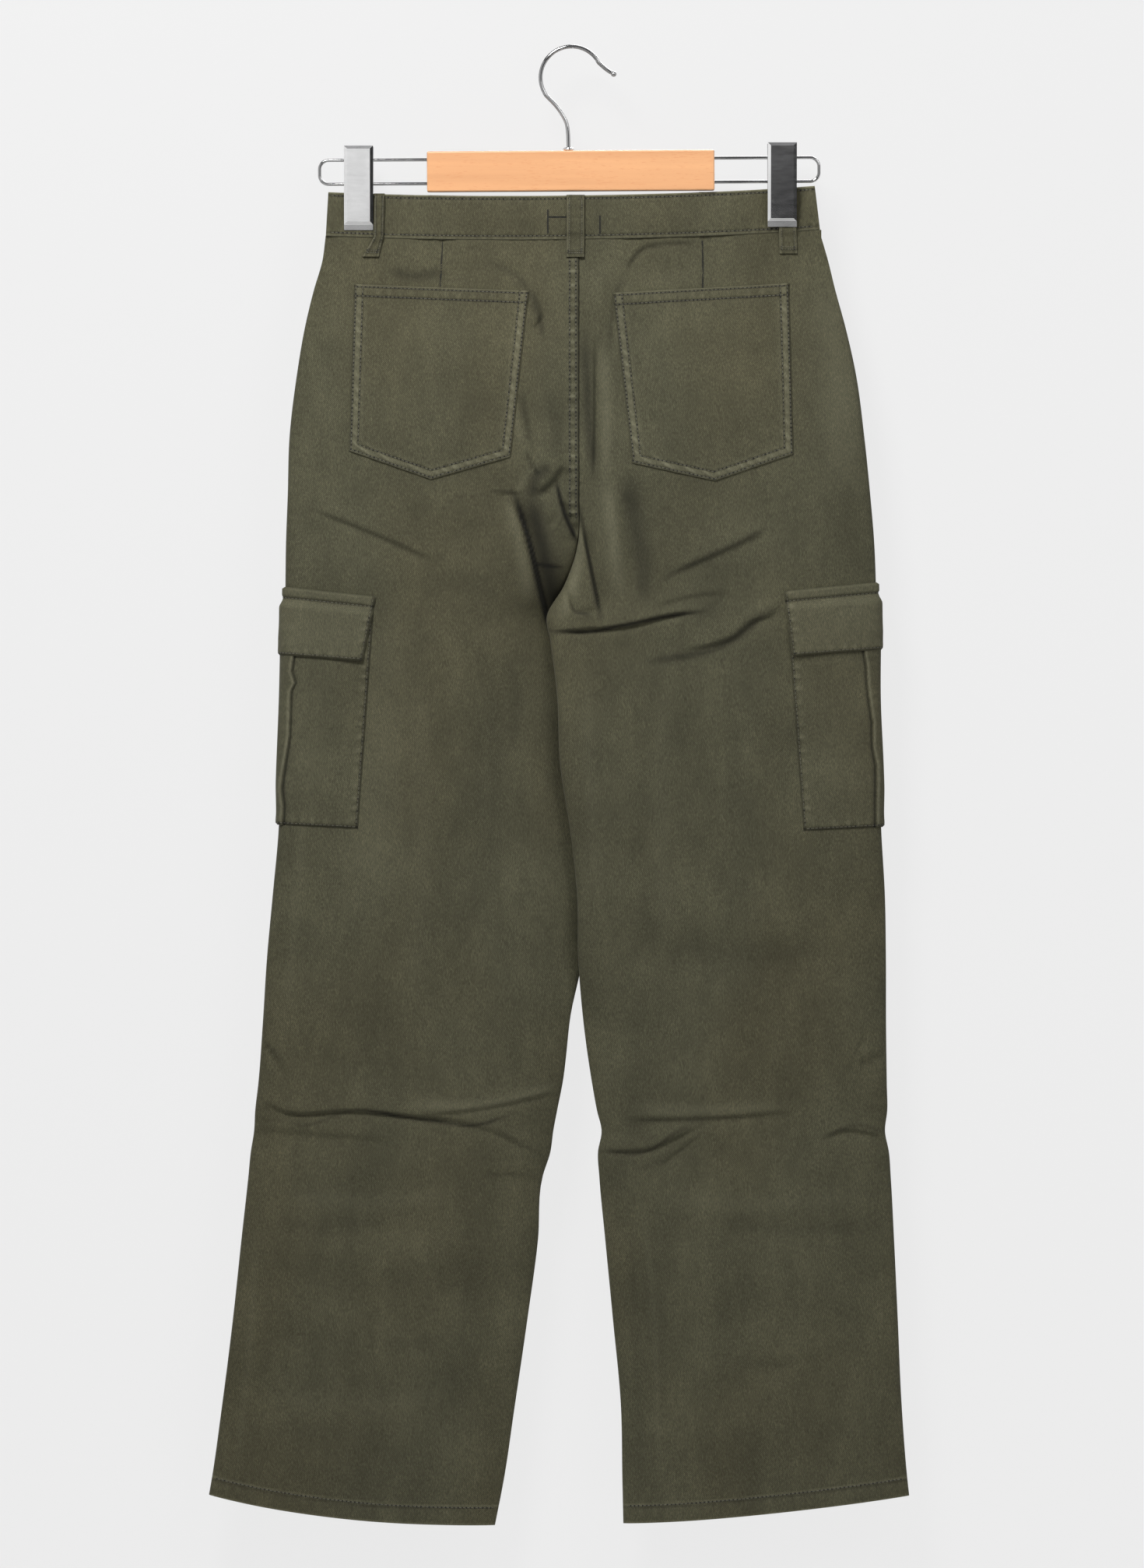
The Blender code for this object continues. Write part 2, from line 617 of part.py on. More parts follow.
def build_hook(home):
    """Make the hook, whose stem goes down into the bar, and the ball of its end."""
    curved = [*HOOK_TIP, *arc(HOOK_ARC_CENTRE, HOOK_ARC_RADIUS, *HOOK_ARC, HOOK_STEPS), *HOOK_NECK]
    stem_x = HOOK_NECK[-1][0]
    points = smoothed(curved, HOOK_SMOOTHING) + [(stem_x, bar_top(stem_x) - HOOK_SEAT)]
    drawn = wire("hook_wire", points, HOOK_WIRE, home)
    bpy.context.view_layer.update()
    made = add_mesh("hanger_hook", curve_to_mesh(drawn), "chrome", home)
    shape = bmesh.new()
    bmesh.ops.create_uvsphere(shape, u_segments=12, v_segments=8, radius=HOOK_BALL * MM)
    return made, bmesh_to_mesh(shape, "hook_ball")


def build_collar(home):
    """Make the small ring that the stem passes at the bar's top."""
    stem_x = HOOK_NECK[-1][0]
    bore = HOOK_WIRE + HOLE_GAP
    profile = (
        (bore, COLLAR_HEIGHT), (COLLAR_RADIUS - COLLAR_CHAMFER, COLLAR_HEIGHT),
        (COLLAR_RADIUS, COLLAR_HEIGHT - COLLAR_CHAMFER), (COLLAR_RADIUS, 0.0), (bore, 0.0),
    )
    shape = bmesh.new()
    ring = [shape.verts.new((x * MM, 0.0, z * MM)) for x, z in profile]
    edges = [shape.edges.new((a, b)) for a, b in zip(ring, ring[1:] + ring[:1])]
    bmesh.ops.spin(shape, geom=ring + edges, cent=(0, 0, 0), axis=(0, 0, 1),
                   angle=2 * math.pi, steps=SPIN_STEPS, use_merge=True)
    bmesh.ops.remove_doubles(shape, verts=shape.verts, dist=WELD * MM)
    made = add_mesh("hook_collar", bmesh_to_mesh(shape, "hook_collar"), "chrome", home)
    made.location = (stem_x * MM, 0.0, (bar_top(stem_x) + SEAM_GAP) * MM)
    made.data.shade_smooth()
    made.data.set_sharp_from_angle(angle=SHARP_ANGLE)


def rail_points(side):
    """Points of one U of the rail, from the upper to the lower wire."""
    end = RAIL_ENDS[side]
    outward_x = 1.0 if side == "right" else -1.0
    seat = outward_x * (BAR_SIZE[0] / 2 - RAIL_SEAT)
    upper, lower = RAIL_HEIGHTS
    corner_x = end - outward_x * RAIL_CORNER
    turn = -90.0 * outward_x
    top = arc((corner_x, upper - RAIL_CORNER), RAIL_CORNER, 90.0, 90.0 + turn, RAIL_CORNER_STEPS)
    low = arc((corner_x, lower + RAIL_CORNER), RAIL_CORNER, 90.0 + turn, 90.0 + 2 * turn, RAIL_CORNER_STEPS)
    return [(seat, upper), *top, *low, (seat, lower)]


def hole_cutter(name, x, z, radius, length, along_x, cutters, parent):
    """Make a round cutter for a wire's hole."""
    shape = bmesh.new()
    bmesh.ops.create_cone(shape, cap_ends=True, segments=12, radius1=radius * MM,
                          radius2=radius * MM, depth=length * MM)
    made = add_mesh(name, bmesh_to_mesh(shape, name), "wood", cutters, parent)
    made.location = (x * MM, 0.0, z * MM)
    if along_x:
        made.rotation_euler = (0.0, math.pi / 2, 0.0)
    made.hide_render = True
    made.display_type = "WIRE"
    return made


def build_bar(home, cutters, frame):
    """Make the wooden bar with the holes for its wires."""
    shape = bmesh.new()
    bmesh.ops.create_cube(shape, size=1.0, matrix=Matrix.Diagonal([size * MM for size in BAR_SIZE] + [1.0]))
    made = add_mesh("hanger_bar", bmesh_to_mesh(shape, "hanger_bar"), "wood", home, frame)
    rounding = made.modifiers.new("rounding", "BEVEL")
    rounding.width = BAR_ROUNDING * MM
    rounding.segments = 2
    holes = []
    for side, outward_x in (("left", -1.0), ("right", 1.0)):
        for height in RAIL_HEIGHTS:
            name = f"rail_hole_{side}_{'upper' if height > 0 else 'lower'}"
            x = outward_x * (BAR_SIZE[0] / 2 - RAIL_SEAT / 2)
            holes.append(hole_cutter(name, x, height, RAIL_WIRE + HOLE_GAP,
                                     RAIL_SEAT + 4 * HOLE_GAP, True, cutters, frame))
    stem_x = HOOK_NECK[-1][0] - HANGER_CENTRE[0]
    depth = HOOK_SEAT + 4 * HOLE_GAP
    holes.append(hole_cutter("stem_hole", stem_x, BAR_SIZE[2] / 2 - HOOK_SEAT / 2,
                             HOOK_WIRE + 2 * HOLE_GAP, depth, False, cutters, frame))
    for hole in holes:
        cut = made.modifiers.new(hole.name, "BOOLEAN")
        cut.operation = "DIFFERENCE"
        cut.object = hole


def slab(name, outline, width, home, shade):
    """Make a plate from an outline of (y, z) points, width wide along X."""
    curve = bpy.data.curves.new(name, "CURVE")
    curve.dimensions = "2D"
    curve.fill_mode = "BOTH"
    curve.extrude = width * MM / 2
    spline = curve.splines.new("POLY")
    spline.points.add(len(outline) - 1)
    for spot, (y, z) in zip(spline.points, outline):
        spot.co = (y * MM, z * MM, 0.0, 1.0)
    spline.use_cyclic_u = True
    drawn = bpy.data.objects.new(name, curve)
    home.objects.link(drawn)
    drawn.matrix_world = Matrix(((0, 0, 1, 0), (1, 0, 0, 0), (0, 1, 0, 0), (0, 0, 0, 1)))
    bpy.context.view_layer.update()
    return add_mesh(name, curve_to_mesh(drawn), shade, home)


def build_clip_plate(clip, face, home, cutters):
    """Make one plate of a clip: a leaning channel with a bevelled lip."""
    name = f"clip_{clip['side']}_{'near' if face == 'back' else 'far'}"
    jaw = BAND_PINCHED + SEAM_GAP + (clip["over_loop"] if face == "back" else 0.0)
    low = clip["z_low"]
    high = low + CLIP_HEIGHT
    start = waist_line(clip["x"]) + FLANGE_START
    lean = CLIP_SPREAD / CLIP_HEIGHT
    direction = outward(face)

    def inside(z):
        return jaw + (z - low) * lean

    outline = (
        (jaw, low), (jaw + CLIP_LIP_EDGE, low), (inside(low + CLIP_LIP) + CLIP_WALL, low + CLIP_LIP),
        (inside(high) + CLIP_WALL, high), (inside(high) - CLIP_TOP, high), (FLANGE_EDGE, high - FLANGE_SLANT),
        (FLANGE_EDGE, start), (inside(start), start),
    )
    plate = slab(name, [(direction * y, z) for y, z in outline], CLIP_WIDTH, home, "chrome")
    below, above = start + HOLLOW_BEYOND[0], high + HOLLOW_BEYOND[1]
    hollow = (
        (0.0, below), (inside(below) + CUT_STEP, below), (inside(above) + CUT_STEP, above), (0.0, above),
    )
    width = CLIP_WIDTH - 2 * CLIP_WALL
    cutter = slab(name + "_hollow", [(direction * y, z) for y, z in hollow], width, cutters, "chrome")
    cutter.hide_render = True
    cutter.display_type = "WIRE"
    cut = plate.modifiers.new("hollow", "BOOLEAN")
    cut.operation = "DIFFERENCE"
    cut.object = cutter
    for piece in (plate, cutter):
        piece.location.x = clip["x"] * MM


def build_clip_spring(clip, home, frame):
    """Make the spring's sleeve, which rides on the rail's lower wire."""
    width = CLIP_WIDTH - 2 * CLIP_WALL - 2 * SEAM_GAP
    inner = RAIL_WIRE + HOLE_GAP
    shape = bmesh.new()
    corners = (
        (-width / 2, inner), (width / 2, inner),
        (width / 2, SPRING_RADIUS), (-width / 2, SPRING_RADIUS),
    )
    ring = [shape.verts.new((x * MM, 0.0, radius * MM)) for x, radius in corners]
    edges = [shape.edges.new((a, b)) for a, b in zip(ring, ring[1:] + ring[:1])]
    bmesh.ops.spin(shape, geom=ring + edges, cent=(0, 0, 0), axis=(1, 0, 0),
                   angle=2 * math.pi, steps=SPIN_STEPS, use_merge=True)
    bmesh.ops.remove_doubles(shape, verts=shape.verts, dist=WELD * MM)
    name = f"clip_{clip['side']}_spring"
    made = add_mesh(name, bmesh_to_mesh(shape, name), "chrome", home, frame)
    made.location = ((clip["x"] - HANGER_CENTRE[0]) * MM, 0.0, RAIL_HEIGHTS[1] * MM)
    made.data.shade_smooth()
    made.data.set_sharp_from_angle(angle=SHARP_ANGLE)


def join_ball(hook, ball, cutters):
    """Round off the hook's open end with a ball, joined by a Boolean."""
    tip_x, tip_z = HOOK_TIP[0]
    made = add_mesh("hook_ball", ball, "chrome", cutters)
    made.location = (tip_x * MM, 0.0, tip_z * MM)
    made.hide_render = True
    made.display_type = "WIRE"
    union = hook.modifiers.new("ball", "BOOLEAN")
    union.operation = "UNION"
    union.object = made


def build_hanger(home, cutters):
    """Make the hanger: bar, hook, rail and clips."""
    frame = bpy.data.objects.new("hanger_frame", None)
    home.objects.link(frame)
    frame.location = (HANGER_CENTRE[0] * MM, 0.0, HANGER_CENTRE[1] * MM)
    frame.rotation_euler = (0.0, HANGER_TILT, 0.0)
    build_bar(home, cutters, frame)
    hook, ball = build_hook(home)
    join_ball(hook, ball, cutters)
    build_collar(home)
    for side in ("left", "right"):
        wire("hanger_rail_" + side, rail_points(side), RAIL_WIRE, home, frame)
    for clip in CLIPS:
        for face in ("back", "front"):
            build_clip_plate(clip, face, home, cutters)
        build_clip_spring(clip, home, frame)


def main():
    """Build the pants and the hanger."""
    clear_scene()
    home = collection("cargo_pants")
    cutters = collection("cutters")
    build_panels(home)
    build_waistband(home)
    build_belt_loops(home)
    build_back_pockets(home)
    build_cargo_pieces(home)
    build_button(home)
    build_hanger(home, cutters)


main()
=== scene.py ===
"""Looks of the cargo pants and their clip hanger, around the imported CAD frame.

Cloth is built as fine walls on the same form as the CAD solids.  Sizes of the
cloth are in millimetres, in the frame's own axes, and MM turns them into metres.
"""
import math

import bpy
import numpy as np
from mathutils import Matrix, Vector
from mathutils.bvhtree import BVHTree


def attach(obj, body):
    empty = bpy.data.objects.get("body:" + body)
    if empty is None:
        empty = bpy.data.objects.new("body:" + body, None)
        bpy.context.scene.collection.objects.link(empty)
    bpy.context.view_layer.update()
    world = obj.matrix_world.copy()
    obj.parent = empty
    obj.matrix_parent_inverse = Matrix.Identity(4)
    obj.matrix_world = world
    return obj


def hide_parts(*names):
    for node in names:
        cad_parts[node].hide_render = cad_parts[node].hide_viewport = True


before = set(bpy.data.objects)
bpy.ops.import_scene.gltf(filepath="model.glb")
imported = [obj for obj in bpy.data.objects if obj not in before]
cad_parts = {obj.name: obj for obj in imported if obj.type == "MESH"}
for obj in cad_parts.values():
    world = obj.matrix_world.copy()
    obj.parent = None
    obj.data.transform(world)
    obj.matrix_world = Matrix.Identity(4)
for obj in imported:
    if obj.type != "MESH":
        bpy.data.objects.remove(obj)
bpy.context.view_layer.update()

MM = 0.001
BODY = "root"
RNG = np.random.default_rng(7)

# Camera and room -----------------------------------------------------------
VIEW_CENTRE = (-1.2, -568.0)      # x and z at the middle of the picture
VIEW_HEIGHT = 1208.4              # height of the picture at the cloth
CAMERA_DISTANCE = 9000.0
CLOTH_PLANE = -18.0               # y of the back of the pants, seen by the camera
SENSOR = 36.0
WALL_Y = 34.0
FLOOR_Z = -1420.0

# Driving sizes of the cloth ------------------------------------------------
PANEL_CLOTH = 1.3
BAND_CLOTH = 2.2
SEAM_GAP = 0.1
FRONT_TUCK = 1.6                  # how far the front's right panel goes under the left
EDGE_DEPTH = 1.45                 # half depth where two panels are sewn
LENS_POWER = 0.4
FRONT_FULLNESS = 0.8
CENTRE_SEAM = 4.2
WAIST_TOP = -108.6                # level of the waist between the clips, before it sags
WAIST_SLOPE = 0.0127
WAIST_SAG = 5.2
WAIST_HALF = 189.0
BAND_HEIGHT = 34.0
BAND_SIDES = {"left": (-189.6, -1.9), "right": (187.2, 4.1)}   # x at the top, lean
BAND_FLATTENS = (24.0, 146.0)     # distance from the middle over which the band goes flat
BAND_FULL = 8.0
BAND_PINCHED = 2.35
BAND_END = 18.0
BODY_BLEND = (-146.0, -262.0)
CROTCH_BLEND = (-316.0, -438.0)
LEG_SHIFT = 8.0                   # how far the right leg lies in front of the left
LEG_UNDER = 4.0                   # how far the left leg reaches under the right
OVERLAP_TOP = (-384.0, -440.0)    # levels over which the overlap begins
OVERLAP_LOW = (-752.0, -690.0)    # levels over which it ends
OVERLAP_REACH = 30.0              # how far from the inseam a leg is moved
HEM_DEPTH = 13.5

# Outline of the pants and their half depths, level by level.
SECTION_COLUMNS = ("z", "left_side", "left_inseam", "right_inseam", "right_side", "seat", "leg")
SECTION_ROWS = (
    (-146.0, -191.6, 4.2, 4.2, 191.4, 7.1, 7.1),
    (-164.0, -194.0, 4.2, 4.2, 196.6, 9.5, 9.5),
    (-186.0, -200.4, 4.2, 4.2, 202.0, 12.5, 12.5),
    (-216.0, -207.6, 4.2, 4.2, 210.2, 16.0, 16.0),
    (-252.0, -213.7, 4.2, 4.2, 218.2, 19.5, 19.0),
    (-300.0, -219.4, 4.2, 4.2, 224.6, 23.0, 21.0),
    (-345.0, -220.8, 4.2, 4.2, 229.2, 24.5, 22.0),
    (-384.0, -222.2, 3.0, 3.0, 232.4, 24.5, 22.0),
    (-416.0, -222.6, -8.0, -8.0, 233.6, 23.5, 22.0),
    (-438.0, -222.8, -20.6, -20.6, 234.0, 22.5, 21.5),
    (-458.0, -223.0, -18.0, -18.0, 233.8, 21.5, 21.0),
    (-500.0, -223.9, -12.8, -12.8, 233.6, 20.0, 20.0),
    (-552.0, -225.9, -10.6, -10.6, 235.8, 18.5, 18.5),
    (-606.0, -228.0, -2.4, -2.4, 237.8, 17.0, 17.0),
    (-654.0, -232.4, 2.6, 2.6, 240.5, 16.5, 16.5),
    (-702.0, -236.8, 3.3, 3.5, 241.3, 16.0, 16.0),
    (-752.0, -240.0, -3.0, 7.6, 241.4, 15.5, 15.5),
    (-800.0, -243.6, -8.6, 14.4, 242.0, 15.5, 15.5),
    (-820.0, -245.9, -12.6, 18.0, 242.3, 14.5, 14.5),
    (-836.0, -246.8, -15.6, 21.6, 240.6, 13.5, 13.5),
    (-852.0, -249.3, -17.8, 18.8, 243.6, 14.5, 14.5),
    (-871.0, -251.2, -23.8, 19.8, 245.0, 15.5, 15.5),
    (-920.0, -256.6, -27.4, 24.4, 247.6, 15.5, 15.5),
    (-980.0, -263.0, -35.4, 30.2, 250.4, 15.0, 15.0),
    (-1050.0, -271.8, -45.6, 36.6, 253.6, 14.5, 14.5),
    (-1104.0, -279.4, -53.6, 37.6, 257.8, 14.0, 14.0),
    (-1140.0, -286.0, -60.6, 38.4, 262.0, 13.5, 13.5),
)
SECTIONS = dict(zip(SECTION_COLUMNS, np.array(SECTION_ROWS).T))

HEM_COLUMNS = ("side", "z_inseam", "rise", "power")
HEM_ROWS = (
    ("left", -1140.0, 23.4, 2.3),
    ("right", -1138.6, 21.4, 1.5),
)
HEMS = {row[0]: dict(zip(HEM_COLUMNS, row)) for row in HEM_ROWS}

# Levels of the back panels' rows: from, to and step.
ROW_STRETCHES = (
    (-146.0, -336.0, 2.2), (-336.0, -474.0, 1.5), (-474.0, -790.0, 4.0), (-790.0, -870.0, 1.6),
    (-870.0, -1100.0, 4.4), (-1100.0, -1140.0, 1.8),
)
PANEL_CELLS = {"back": 122, "front": 64}
CROWDING = 0.6                    # how much closer the points are at a piece's edges
INSEAM_CLOSENESS = 1.25           # above 1 brings the columns closer together at the inseam
ROW_SKIP = {"back": 1, "front": 2}     # the hidden side has every second row

# Creases of each panel, as a ridge on the left of the path and a trough on its
# right.  Points are (x, z); ridge and trough are heights, reach and width their
# spreads, and edge is how softly one passes into the other.
CREASE_COLUMNS = ("points", "ridge", "reach", "trough", "width", "edge")
CREASE_ROWS = {
    ("back", "left"): (
        (((-202, -356), (-167, -370), (-134, -384), (-104, -398)), 1.1, 12, 0.8, 4, 1.6),
        (((-20, -443), (-27, -411), (-35, -379), (-47, -350)), 2.4, 14, 3.6, 7, 0.7),
        (((2, -377), (-4, -364), (-10, -351)), 1.4, 7, 2.8, 3.5, 0.8),
        (((-28, -345), (-16, -334), (-8, -322)), 1.0, 8, 3.0, 9, 3.0),
        (((-8, -352), (-14, -366), (-20, -372)), 1.0, 4, 1.2, 4, 1.5),
        (((-32, -218), (-25, -205), (-32, -186)), 1.2, 8, 1.6, 5, 1.2),
        (((-29, -321), (-35, -290), (-41, -257)), 1.3, 7, 1.4, 6, 2.0),
        (((-34, -186), (-46, -174), (-58, -168)), 0.5, 6, 0.9, 4, 1.0),
        (((-58, -344), (-41, -344)), 0.4, 4, 1.0, 3, 0.8),
        (((-246, -810), (-217, -822), (-172, -820), (-125, -824), (-74, -829)), 1.5, 12, 1.1, 4, 0.8),
        (((-118, -823), (-70, -818), (-10, -805)), 1.3, 9, 0.7, 5, 1.5),
        (((-92, -828), (-62, -836), (-35, -850)), 0.8, 9, 0.7, 5, 1.6),
        (((-240, -764), (-230, -778), (-220, -792)), 0.9, 6, 1.2, 4, 1.2),
        (((-70, -870), (-46, -869), (-24, -872)), 0.6, 8, 0.6, 6, 2.0),
        (((-246, -834), (-200, -838), (-140, -842)), 0.6, 8, 0.6, 6, 2.5),
    ),
    ("back", "right"): (
        (((21, -438), (14, -404), (6, -369)), 2.2, 8, 3.0, 6, 0.9),
        (((15, -334), (16, -280), (16, -222)), 0.8, 6, 2.0, 6, 1.2),
        (((-18, -451), (6, -449), (41, -446), (72, -438), (98, -435)), 2.0, 13, 1.5, 4, 0.7),
        (((85, -466), (120, -456), (137, -443), (152, -437), (162, -425)), 1.5, 11, 1.1, 6, 1.6),
        (((74, -406), (98, -396), (124, -385), (151, -372)), 1.2, 10, 1.1, 7, 2.5),
        (((40, -175), (46, -162), (59, -152), (99, -149)), 0.9, 6, 1.2, 3, 0.8),
        (((20, -436), (6, -437), (-1, -433), (-8, -415)), 1.2, 5, 1.5, 3.5, 0.9),
        (((60, -432), (88, -424), (118, -420)), 0.8, 8, 0.8, 6, 2.0),
        (((40, -828), (80, -826), (115, -825), (173, -820)), 1.1, 12, 0.7, 5, 1.8),
        (((18, -851), (54, -850), (76, -842), (103, -828)), 1.1, 9, 1.0, 5, 1.2),
        (((65, -863), (82, -850), (99, -836)), 0.7, 6, 0.9, 4, 1.2),
        (((190, -842), (212, -835), (242, -841)), 1.0, 8, 0.9, 5, 1.2),
        (((208, -795), (216, -778), (224, -760)), 0.6, 5, 0.9, 4, 1.2),
        (((218, -784), (228, -779), (242, -775)), 1.0, 6, 1.3, 4, 1.0),
    ),
    ("front", "left"): (
        (((-96, -372), (-60, -392), (-24, -424)), 1.4, 12, 2.0, 7, 1.5),
        (((-130, -424), (-80, -430), (-26, -440)), 1.2, 10, 1.6, 7, 1.8),
        (((-236, -818), (-170, -826), (-90, -820)), 1.6, 12, 2.0, 6, 1.2),
        (((-150, -846), (-90, -840), (-30, -848)), 1.0, 9, 1.4, 6, 1.4),
    ),
    ("front", "right"): (
        (((-16, -428), (34, -396), (88, -374)), 1.4, 12, 2.0, 7, 1.5),
        (((-10, -448), (40, -440), (92, -438)), 1.2, 10, 1.8, 7, 1.5),
        (((36, -822), (110, -828), (196, -818)), 1.6, 12, 2.0, 6, 1.2),
        (((130, -850), (180, -842), (236, -846)), 1.0, 9, 1.4, 6, 1.4),
    ),
}

FLY_STITCHES = ((-26.0, -150.0), (-27.0, -220.0), (-27.0, -282.0), (-18.0, -314.0), (2.0, -330.0))

# Painted shade (-) and painted highlights (+), as lines and patches along a path.
SHADE_COLUMNS = ("points", "wear_and_painted_shading", "width")
SHADE_ROWS = {
    ("back", "left"): (
        (((-48, -338), (-38, -368), (-32, -392), (-26, -418), (-12, -470)), -1.3, 2.1),
        (((-36, -340), (-24, -385), (-10, -450)), -0.80, 8),
        (((-52, -345), (-41, -384), (-34, -430)), 0.30, 5),
        (((-31, -398), (-18, -400), (-6, -401)), -0.6, 1.3),
        (((-14, -332), (-7, -360), (4, -384)), -1.2, 1.6),
        (((-38, -310), (-34, -318), (-27, -331)), -0.5, 1.6),
        (((-16, -322), (-29, -332), (-30, -348)), -0.55, 5),
        (((-46, -346), (-38, -334), (-30, -322)), 0.25, 2.5),
        (((-66, -343), (-56, -342), (-44, -343)), -0.4, 1.2),
        (((-18, -262), (-14, -290), (-12, -318)), -0.18, 5),
        (((-202, -356), (-167, -370), (-134, -384), (-104, -398)), -0.25, 1.4),
        (((-120, -420), (-88, -410), (-60, -424)), -0.12, 9),
        (((-232, -827), (-206, -831), (-182, -823), (-162, -819), (-129, -825)), -0.35, 1.2),
        (((-164, -819), (-129, -825), (-100, -829), (-76, -831), (-44, -822)), -0.70, 1.4),
        (((-60, -834), (-46, -842), (-23, -856)), -0.25, 2.0),
        (((-130, -814), (-70, -816), (-8, -800)), 0.26, 4.5),
        (((-243, -766), (-234, -772), (-224, -780)), -0.3, 1.8),
        (((-143, -170), (-124, -176), (-98, -172)), -0.45, 4.5),
        (((-66, -164), (-42, -178), (-33, -195), (-28, -210)), -0.40, 1.6),
        (((-34, -184), (-27, -204), (-23, -226)), -0.50, 1.8),
        (((-43, -262), (-38, -285), (-33, -310)), -0.35, 1.8),
        (((-48, -260), (-44, -285), (-40, -308)), 0.20, 2.4),
        (((-236, -906), (-190, -909), (-140, -904)), -0.16, 6),
        (((-230, -886), (-160, -890), (-90, -884)), 0.12, 7),
        (((-150, -996), (-124, -1000), (-98, -994)), -0.14, 5),
        (((-238, -1040), (-160, -1046), (-90, -1038)), 0.08, 9),
        (((-244, -900), (-250, -1000), (-262, -1110)), 0.10, 3),
        (((-206, -470), (-210, -600), (-222, -760)), 0.10, 4),
        (((-120, -480), (-116, -600), (-124, -740)), 0.08, 9),
        (((-62, -470), (-60, -560), (-66, -660)), -0.14, 9),
        (((-24, -460), (-18, -520), (-14, -600)), -0.20, 8),
        (((-50, -470), (-44, -500), (-46, -540)), -0.18, 5),
        (((-150, -430), (-146, -540), (-156, -680)), 0.14, 26),
        (((-160, -1060), (-166, -1100), (-170, -1150)), -0.10, 60),
    ),
    ("back", "right"): (
        (((-3, -418), (0, -434), (16, -438)), -0.6, 1.4),
        (((6, -360), (3, -400), (-10, -444)), 0.45, 4.5),
        (((4, -350), (15, -412), (23, -446)), -0.80, 1.8),
        (((40, -326), (51, -383), (56, -435)), -0.48, 8),
        (((24, -330), (30, -371), (36, -425)), 0.34, 6),
        (((-24, -449), (10, -451), (36, -446), (72, -439), (106, -434)), -0.85, 1.3),
        (((50, -474), (95, -468), (119, -459), (136, -446), (156, -428)), -0.55, 3.0),
        (((90, -440), (108, -432), (112, -415)), -0.18, 6),
        (((64, -412), (113, -389), (154, -368)), -0.38, 2.4),
        (((8, -216), (10, -250), (12, -290), (16, -336)), -0.55, 4.2),
        (((38, -176), (31, -196), (27, -236)), -0.35, 1.7),
        (((44, -180), (37, -200), (33, -236)), 0.16, 2.5),
        (((192, -478), (215, -470), (240, -476)), -0.20, 2.0),
        (((22, -226), (25, -290), (24, -336)), 0.26, 4.5),
        (((40, -176), (46, -163), (60, -153), (96, -150)), -0.35, 1.2),
        (((36, -826), (83, -827), (150, -824)), -0.30, 1.5),
        (((18, -851), (54, -852), (77, -838), (92, -830)), -0.50, 1.4),
        (((40, -818), (100, -820), (170, -816)), 0.20, 5),
        (((50, -866), (66, -858), (80, -846)), -0.20, 2.5),
        (((192, -840), (219, -831), (242, -838)), -0.35, 1.4),
        (((113, -908), (180, -912), (246, -904)), -0.16, 6),
        (((60, -888), (140, -892), (236, -884)), 0.12, 7),
        (((122, -1012), (150, -1016), (174, -1010)), -0.16, 4),
        (((52, -880), (62, -980), (66, -1110)), 0.12, 2.5),
        (((40, -880), (48, -980), (52, -1110)), -0.12, 4),
        (((70, -480), (66, -600), (74, -700)), 0.10, 8),
        (((130, -480), (126, -600), (140, -740)), -0.10, 10),
        (((10, -470), (12, -560), (18, -660)), 0.10, 5),
        (((60, -690), (140, -700), (230, -690)), -0.10, 8),
        (((196, -170), (206, -250), (210, -350)), 0.20, 18),
        (((120, -1060), (130, -1100), (136, -1150)), -0.10, 60),
    ),
    ("front", "left"): (
        (FLY_STITCHES, -0.35, 1.0),
        (((-96, -374), (-60, -394), (-24, -426)), -0.30, 1.8),
    ),
    ("front", "right"): (
        (((-16, -430), (34, -398), (88, -376)), -0.30, 1.8),
    ),
}

